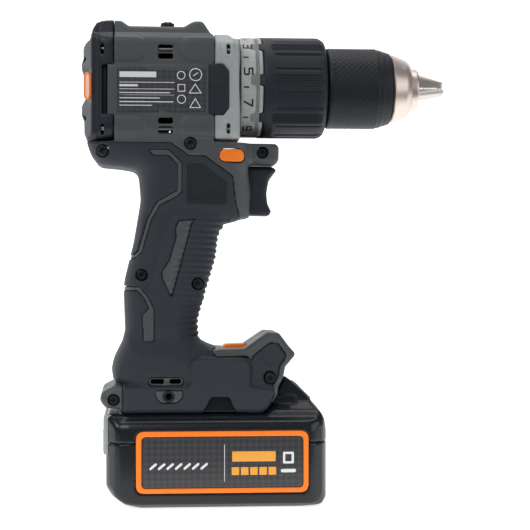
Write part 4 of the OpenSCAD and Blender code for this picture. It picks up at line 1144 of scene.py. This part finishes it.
def jaw(name, k):
    """A rod that slopes to the axis, ground flat towards its neighbours, with teeth along the inner edge."""
    slope = math.radians(16.5)
    g = Grid((84, -7, -0.2), (121.6, 7, 14), 0.35)
    along = (121.5 - g.x) * math.cos(slope) + (g.z - 0.6) * math.sin(slope)
    off = (g.z - 0.6) * math.cos(slope) - (121.5 - g.x) * math.sin(slope)
    rod = np.sqrt(off ** 2 + g.y ** 2) - 3.2
    field = meet(rod, -along, 0.3)
    field = np.maximum(field, along - 34.5)
    field = np.maximum(field, g.x - 121.4)
    # The two flats that meet on the axis, 0.25 mm clear of the neighbours
    field = np.maximum(field, 0.25 - (g.z * 0.5 - np.abs(g.y) * 0.866 + 0.0) - 0.12)
    teeth = 0.3 * (1.0 - ridges(g.x, 1.5, 0.6)) * soft_step(g.z - 1.2, 0.8) * (g.x < 118)
    field = field + teeth
    points, quads = net(field, g)
    turn = Matrix.Translation((0, 0, AXIS * MM)) @ Matrix.Rotation(math.radians(120.0 * k), 4, "X")
    mesh = thinned(mesh_of(name, points, quads), 12000)
    mesh.transform(turn)
    return finish_piece(name, mesh, f"jaw_{k + 1}", "dark_steel", (f"jaw_{k + 1}",))


for k in range(3):
    jaw(f"chuck_jaw_{k + 1}", k)

# %% [markdown]
# ## Front case
# A die-cast case carries the gears. Its pebbled paint is pale grey, with a slanted rear edge and two sunk slots where
# long screws pass on each side.

# %% Front case
CASE_SIDE = [
    (-2.3, 243.6, 1), (5.2, 243.4, 1.5), (7.6, 241.0, 1), (11.2, 240.8, 0.5), (11.2, 188.2, 0.5),
    (-2.3, 188.2, 0),
]
CASE_SECTION = [(-9, 188.2, 0), (26, 188.2, 4), (30.2, 192, 6), (30.2, 237.5, 7), (23.0, 243.6, 5),
                (-9, 243.6, 0)]
TAB_SIDE = [(-5.4, 201.2, 0.3), (2.0, 201.2, 0.5), (4.8, 204.6, 0.6), (4.8, 223.4, 0.6), (2.0, 226.6, 0.5),
            (-5.4, 226.6, 0.3)]


def front_case(g):
    wide = np.abs(g.y)
    field = meet(outline(CASE_SIDE, g.x, g.z), outline(CASE_SECTION, wide, g.z), 1.5)
    lean = soft_step(8.2 - g.x, 1.0)
    field = field + 0.9 * lean * soft_step(25.0 - wide, 2.0)
    field = cut(field, meet(outline(TAB_SIDE, g.x, g.z) - 0.35, 28.6 - wide), 0.2)
    for z in (234.6, 194.0):
        seat = oblong(g.x, g.z, 4.0, 5.8, z - 2.6, z + 2.6, 0.8)
        field = field - 0.5 * soft_step(seat - 1.6, 1.4) * soft_step(27.0 - wide, 1.0)
        field = cut(field, meet(seat, 24.0 - wide), 0.3)
    # Room for the gears
    bore = np.sqrt(g.y ** 2 + (g.z - AXIS) ** 2) - 18.0
    return meet(field, -bore)


g = Grid((-3, -32, 188), (12, 32, 246), STEP)
solid("front_case", g, front_case(g), "drill", "case_grey", ("gear_case",), 70000)
turned("case_neck", [(10.8, 18.5), (10.8, 20.5), (27.0, 20.5), (27.4, 20.1), (27.4, 15.5), (53.6, 15.5),
                     (54.2, 14.9), (54.2, 13.2), (10.8, 13.2)],
       180, "drill", "case_grey")


def long_screw(name, y, z):
    """A steel screw that runs from the cap to the front case; it shows in the slots of the side."""
    g = Grid((-60.4, -1.4, -1.4), (7.6, 1.4, 1.4), 0.4)
    field = meet(np.sqrt(g.y ** 2 + g.z ** 2) - 1.25, np.abs(g.x + 26.4) - 34.0, 0.2)
    placed(name, g, field, Matrix.Translation((0.0, y * MM, z * MM)), "drill", "steel")


for n, (y, z) in enumerate((y, z) for y in (-25.9, 25.9) for z in (234.7, 194.0)):
    long_screw(f"long_screw_{n}", y, z)


def slab(name, corners, y0, y1, body, finish, round_edge=0.4, replaced=(), step=0.4, relief=None,
         faces=12000):
    """A plate with a side outline, from y0 to y1, with rounded edges."""
    xs, zs = [c[0] for c in corners], [c[1] for c in corners]
    g = Grid((min(xs), y0, min(zs)), (max(xs), y1, max(zs)), step)
    field = meet(outline(corners, g.x, g.z), np.abs(g.y - (y0 + y1) / 2.0) - (y1 - y0) / 2.0, round_edge)
    if relief is not None:
        field = field + relief(g)
    return solid(name, g, field, body, finish, replaced, faces)


# %% [markdown]
# ## Marking plates and side tabs
# The plates are dark printed film with a woven pattern. What they say is left out: plain bars and rings stand in.

# %% Marking plates and side tabs
PLATE = [
    (-52.0, 201.6, 0.5), (-52.0, 225.4, 0.5), (-38.2, 225.4, 0.5), (-36.6, 224.0, 0.5), (-15.8, 224.0, 0.5),
    (-14.4, 225.4, 0.5),
    (-6.2, 225.4, 0.5), (-6.2, 201.6, 0.5), (-26.6, 201.6, 0.5), (-28.2, 203.0, 0.5), (-30.0, 203.0, 0.5),
    (-31.2, 201.6, 0.5),
]


def hammer_relief(g):
    """A small raised hammer, the usual sign for a percussion drill."""
    head = oblong(g.x, g.z, -2.0, 2.2, 215.6, 217.8, 0.3)
    handle = oblong(g.x, g.z, -0.4, 0.8, 210.0, 216.0, 0.2)
    return -0.5 * soft_step(np.minimum(head, handle), 0.5)


for side, tag in ((-1, "right"), (1, "left")):
    y0, y1 = sorted((side * 30.7, side * 31.55))
    slab(f"marking_plate_{tag}", PLATE, y0, y1, "drill", "plate", 0.3,
         ("rating_plates",) if side < 0 else ())
    y0, y1 = sorted((side * 28.4, side * 31.0))
    slab(f"side_tab_{tag}", TAB_SIDE, y0, y1, "drill", "collar_rubber", 0.6,
         ("side_tabs",) if side < 0 else (), 0.4, hammer_relief)


def print_bar(name, x0, x1, z0, z1, side, depth=31.55, finish="print", slot="plate", body="drill"):
    y0, y1 = sorted((side * (depth - 0.2), side * (depth + 0.12)))
    corners = [(x0, z0, 0.15), (x0, z1, 0.15), (x1, z1, 0.15), (x1, z0, 0.15)]
    return slab(name, corners, y0, y1, body, finish, 0.08, (), 0.16, None, 1200)


def circle(r, n=20):
    return [(r * math.cos(2 * math.pi * k / n), r * math.sin(2 * math.pi * k / n)) for k in range(n + 1)]


def on_side(x, z, side, depth):
    """Puts a drawn figure on one side of the tool."""
    return lambda u, v, h: np.stack([x + u, side * (depth + h), z + v], -1)


for side, tag in ((-1, "right"), (1, "left")):
    # A bold bar, thin rules and short lines, as on any rating plate
    bars = [(-50.8, -32.0, 219.6, 222.6), (-50.8, -22.6, 216.9, 217.3), (-50.8, -41.4, 214.9, 216.1),
            (-50.8, -22.6, 213.5, 213.9),
            (-50.8, -25.0, 211.5, 212.1), (-50.8, -22.6, 210.5, 210.8), (-50.8, -30.2, 208.8, 209.4),
            (-50.8, -23.4, 206.9, 207.5),
            (-50.8, -34.0, 205.1, 205.6)]
    for n, bar in enumerate(bars):
        print_bar(f"plate_{tag}_line_{n}", *bar, side)

    marks = [([circle(3.1), [(-1.2, -0.6), (1.2, 1.0)]], -12.0, 221.2),
             ([[(-3.0, -2.0), (0.0, 2.6), (3.0, -2.0), (-3.0, -2.0)]], -12.2, 213.8),
             ([[(-2.7, -2.0), (0.0, 2.6), (2.7, -2.0), (-2.7, -2.0)]], -12.2, 206.4),
             ([circle(2.1)], -19.2, 208.6),
             ([[(-1.7, -1.7), (-1.7, 1.7), (1.7, 1.7), (1.7, -1.7), (-1.7, -1.7)]], -19.2, 214.4),
             ([circle(2.0)], -19.4, 220.8)]
    for n, (strokes, x, z) in enumerate(marks):
        piece = stroke_solid(f"plate_{tag}_mark_{n}", strokes, 0.5, on_side(x, z, side, 31.45), "drill",
                             "print", 0.22)
        if side > 0:
            piece.data.flip_normals()

# %% [markdown]
# ## Controls
# The trigger has a finger hollow and a hooked top edge. The direction button, the light switch and the speed knob are
# small moulded pieces; the first two are bright orange so that the hand finds them.

# %% Controls
TRIGGER_SIDE = [
    (5.6, 151.6, 0), (14, 150.2, 1), (27.6, 149.9, 1.8), (28.7, 152.2, 1), (27.1, 156.6, 6),
    (26.6, 162.0, 8), (27.8, 168.6, 4),
    (31.4, 173.6, 0.8), (30.6, 175.0, 0.6), (28.6, 175.9, 1), (5.6, 176.2, 0),
]


def trigger_relief(g):
    return 0.5 * soft_step(disc(g.x, g.z, 29.0, 163.0, 8.5), 6.0) * soft_step(4.0 - np.abs(g.y), 6.0)


slab("trigger_pad", TRIGGER_SIDE, -9.4, 9.4, "trigger", "collar_rubber", 3.4, ("trigger",),
     0.45, trigger_relief, 16000)


def direction_button(g):
    """A bar through the grip whose ends follow the grip's sides, a little proud of them."""
    ends = meet(body_form(g) - 0.5, np.abs(g.y) - 25.9, 0.8)
    return meet(oblong(g.x, g.z, 0.5, 13.6, 177.4, 183.8, 2.9), ends, 0.9)


g = Grid((0.5, -26, 177.3), (13.6, 26, 183.9), 0.45)
solid("direction_button", g, direction_button(g), "direction_bar", "orange", ("direction_bar",),
      14000)


def knob(g):
    return -0.3 * ridges(g.x + 0.4, 2.2, 0.8) * soft_step(250.0 - g.z, 1.0)


KNOB_SIDE = [(-29.3, 241, 0), (-29.3, 251.0, 1.4), (-27.6, 251.8, 1), (-24.2, 251.8, 1),
             (-22.5, 251.0, 1.4), (-22.5, 241, 0)]
slab("speed_button", KNOB_SIDE, -5.8, 5.8, "speed_selector", "cap", 1.0, ("speed_knob",), 0.4, knob,
     12000)
SLIDER_SIDE = [(2.4, 77.2, 0.4), (2.4, 80.6, 1.0), (4.6, 82.3, 0.8), (14.6, 82.7, 0.8), (15.8, 81.0, 0.8),
               (15.8, 77.2, 0.4)]
slab("lamp_slider", SLIDER_SIDE, -5.6, 5.6, "light_switch", "orange", 0.8, ("light_switch",),
     0.35, None, 8000)

# %% [markdown]
# ## Grip inlays
# A hard slip is let into the soft skin on each side of the grip. Short raised bars run along it, in place of a word.

# %% Grip inlays


def inlay_field(g, side):
    """A thin solid that follows the grip inside the slip's outline."""
    s = Sides(g)
    bars = None
    for k in range(9):
        x, z = -24.6 + 1.18 * k, 114.2 + 3.55 * k
        one = line([(x - 1.6, z - 0.5), (x + 1.6, z + 0.5)], g.x, g.z, 1.3)
        bars = one if bars is None else np.minimum(bars, one)
    outer = body_form(g) - grip_relief(g, s) + 0.35 - 0.3 * soft_step(bars, 0.5)
    field = meet(meet(outer, -(outer + 1.2)), s.inlay + 0.25, 0.2)
    return np.maximum(field, side * -g.y + 5.0)


for side, tag in ((-1, "right"), (1, "left")):
    g = Grid((-30, min(6 * side, 22 * side), 106), (-10, max(6 * side, 22 * side), 149), STEP * 0.75)
    solid(f"grip_slip_{tag}", g, inlay_field(g, side), "drill", "inlay",
          ("grip_inlays",) if side < 0 else (), 20000)

# %% [markdown]
# ## Screws
# Sunk screws with a six-lobed drive hold the right shell. Each is a dark disc in its own well.

# %% Screws
NOTCH_PLATE = [(-9.0, 48.4, 0.3), (-4.6, 57.0, 1.6), (5.6, 57.0, 1.6), (9.4, 48.4, 0.3)]


def screw(name, x, y, z, r, replaced=()):
    g = Grid((-r, 0.0, -r), (r, 2.4, r), 0.2)
    across = np.sqrt(g.x ** 2 + g.z ** 2)
    field = meet(across - r, np.abs(g.y - 1.2) - 1.2, 0.5)
    lobes = across - (1.25 + 0.28 * np.cos(6.0 * np.arctan2(g.z, g.x)))
    field = cut(field, meet(lobes, g.y - 1.5), 0.1)
    return placed(name, g, field, Matrix.Translation((x * MM, y * MM, z * MM)), "drill", "screw",
                  replaced, 3000)


for n, ((x, z), y) in enumerate(zip(CASE_SCREWS, (-24.4, -27.4, -14.6, -16.0, -15.4, -29.0, -30.0))):
    screw(f"screw_{n}", x, y, z, 2.75, ("case_screws",) if n == 0 else ())
for side, tag in ((-1, "right"), (1, "left")):
    y0, y1 = sorted((side * 27.6, side * 29.4))
    slab(f"notch_plate_{tag}", NOTCH_PLATE, y0, y1, "drill", "pack", 0.3)

# %% [markdown]
# ## Battery pack
# The pack is a deep glossy tray below and a lid with the rail above. An orange line frames a woven panel on each
# side. The panel's wording is left out: a slanted bar, a block and a row of squares fill the same room.

# %% Battery pack
PACK_SIDE = [
    (-58.6, 48, 2), (-58.4, 11.5, 2), (-54.4, 6.4, 3), (-47.4, 2.2, 4), (-40, 0.0, 3), (42, 0.0, 3),
    (53.2, 1.2, 4), (56.2, 4.6, 3), (56.4, 9, 2),
    (56.5, 39.2, 3), (55.0, 45.0, 3), (50.4, 51.4, 3), (44.8, 57.9, 3), (37.8, 64.2, 2), (34.6, 66.4, 0.8),
    (25.8, 50.0, 0.5), (24.4, 48, 0),
]
PACK_PLAN = [(-58.6, -9, 0), (-58.6, 29, 0), (-52.5, 36.2, 5), (-46, 37.4, 6), (46, 37.4, 8),
             (56.6, 30, 10), (56.6, -9, 0)]
PACK_SECTION = [
    (-9, -0.1, 0), (32.6, -0.1, 3), (37.3, 4.2, 4), (37.3, 41.0, 7), (30, 49.5, 5), (23.0, 54.0, 3),
    (20, 68, 0), (-9, 68, 0),
]
FRAME_OUT = [(-42.4, 8.3, 4.3), (-42.4, 39.7, 4.3), (45.3, 39.7, 4.3), (45.3, 8.3, 4.3)]
FRAME_IN = [(-39.6, 10.8, 2.4), (-39.6, 37.0, 2.4), (42.7, 37.0, 2.4), (42.7, 10.8, 2.4)]


def pack_form(g):
    wide = np.abs(g.y)
    field = meet(outline(PACK_SIDE, g.x, g.z), outline(PACK_PLAN, g.x, wide), 3.0)
    field = meet(field, outline(PACK_SECTION, wide, g.z), 1.5)
    # A panel that stands out behind the frame, and a hollow that holds the frame
    swell = outline([(-51.0, 2, 8), (-51.0, 45.4, 6), (53.4, 45.4, 6), (53.4, 2, 8)], g.x, g.z)
    field = field - 0.8 * soft_step(swell, 2.4) * soft_step(20.0 - wide, 2.0)
    frame_seat = outline([(a, b, r) for a, b, r in FRAME_OUT], g.x, g.z)
    return field + 0.9 * soft_step(frame_seat - 0.25, 0.4) * soft_step(30.0 - wide, 1.0)


def pack_half(g, upper):
    field = pack_form(g)
    wide = np.abs(g.y)
    field = meet(field, (33.6 - g.z) if upper else (g.z - 33.4), 0.35)
    if upper:
        field = cut(field, foot(g) - 0.35)
        rail = meet(oblong(g.x, g.z, -44.5, 40.5, 40.0, 56.8),
                    np.minimum(wide - 20.6, meet(wide - 24.8, np.abs(g.z - 54.5) - 2.3)))
        field = join(field, rail)
    # Rear gauge hollow with ribs
    rib = oblong(g.x, g.z, -70, -55.6, 6, 30, 1.0)
    field = cut(field, meet(rib, wide - 22.0), 0.8)
    return meet(field, -(field + 2.4))


for upper, name, node in ((False, "tray", "pack_bottom"), (True, "lid", "pack_top")):
    g = Grid((-59, -38.5, 33.4 if upper else 0.0), (58, 38.5, 67.5 if upper else 33.6), STEP * 1.1)
    solid(f"pack_{name}", g, pack_half(g, upper), "pack", "pack", (node,), 80000)

# %% Panels and frames of the pack
for side, tag in ((-1, "right"), (1, "left")):
    y0, y1 = sorted((side * 36.6, side * 38.2))
    xs = [c[0] for c in FRAME_OUT]
    g = Grid((min(xs), y0, 8.3), (max(xs), y1, 39.7), 0.4)
    band = np.maximum(outline(FRAME_OUT, g.x, g.z), -outline(FRAME_IN, g.x, g.z))
    solid(f"pack_frame_{tag}", g, meet(band, np.abs(g.y - (y0 + y1) / 2) - 0.8, 0.4), "pack", "orange",
          (), 14000)
    y0, y1 = sorted((side * 36.6, side * 37.75))
    slab(f"pack_panel_{tag}", [(a, b, 2.2) for a, b, r in FRAME_IN], y0, y1, "pack", "panel", 0.2,
         (), 0.5)
    print_bar(f"pack_divider_{tag}", 2.2, 2.6, 14.0, 33.0, side, 37.75, "print", "plate", "pack")


def pack_mark(name, strokes, width, x, z, side, finish):
    """A printed mark on the panel; on the left side it is turned so that it reads the same way."""
    piece = stroke_solid(name, [[(-side * u, v) for u, v in q] for q in strokes], width,
                         on_side(-side * x, z, side, 37.6), "pack", finish,
                         0.25)
    if side > 0:
        piece.data.flip_normals()


for side, tag in ((-1, "right"), (1, "left")):
    for n in range(7):
        pack_mark(f"pack_{tag}_slant_{n}", [[(-1.5, -1.1), (1.1, 1.1)]], 1.3, -33.5 + 4.3 * n, 22.0, side,
                  "print")
    block = [[(-10.6, v), (10.6, v)] for v in (-2.0, -1.0, 0.0, 1.0, 2.0)]
    pack_mark(f"pack_{tag}_block", block, 1.2, 17.4, 26.8, side, "amber")
    square = [[(-1.5, v), (1.5, v)] for v in (-1.5, -0.5, 0.5, 1.5)]
    for n in range(5):
        pack_mark(f"pack_{tag}_square_{n}", square, 1.1, 8.0 + 4.7 * n, 19.4, side, "amber")
    pack_mark(f"pack_{tag}_cell", [[(-2.2, -2.4), (-2.2, 2.4), (2.2, 2.4), (2.2, -2.4), (-2.2, -2.4)]], 1.3,
              35.0, 26.0, side, "print")
    pack_mark(f"pack_{tag}_bar", [[(-3.0, 0.0), (3.0, 0.0)]], 1.9, 35.0, 19.4, side, "print")

# %% [markdown]
# ## Gauge
# The charge gauge is a pale block at the back corner of the pack with an orange face.

# %% Gauge
GAUGE_SIDE = [(-59.0, 27.4, 0.6), (-59.0, 47.4, 1.6), (-52.6, 47.9, 0.8), (-52.6, 27.4, 0.6)]
FACE_SIDE = [(-59.2, 29.0, 0.4), (-59.2, 40.4, 0.4), (-58.0, 40.4, 0.2), (-58.0, 29.0, 0.2)]
slab("gauge_block", GAUGE_SIDE, -31.0, 31.0, "pack", "case_grey", 0.8, (), 0.5, None, 9000)
slab("gauge_face", FACE_SIDE, -29.0, 29.0, "gauge_button", "orange", 0.3, ("gauge_button",), 0.35,
     None, 5000)

# %% Materials of the CAD nodes that stay
# The threads in the hook plates get the dark ink finish, unlike the brass inside the tool
for entry in frame["record"]["subparts"]:
    node = frame["nodes"][entry["node"]]
    node.data.materials.clear()
    node.data.materials.append(finishes[entry["material_slot"]].material)
frame["nodes"]["hook_inserts"].data.materials[0] = finishes["ink"].material
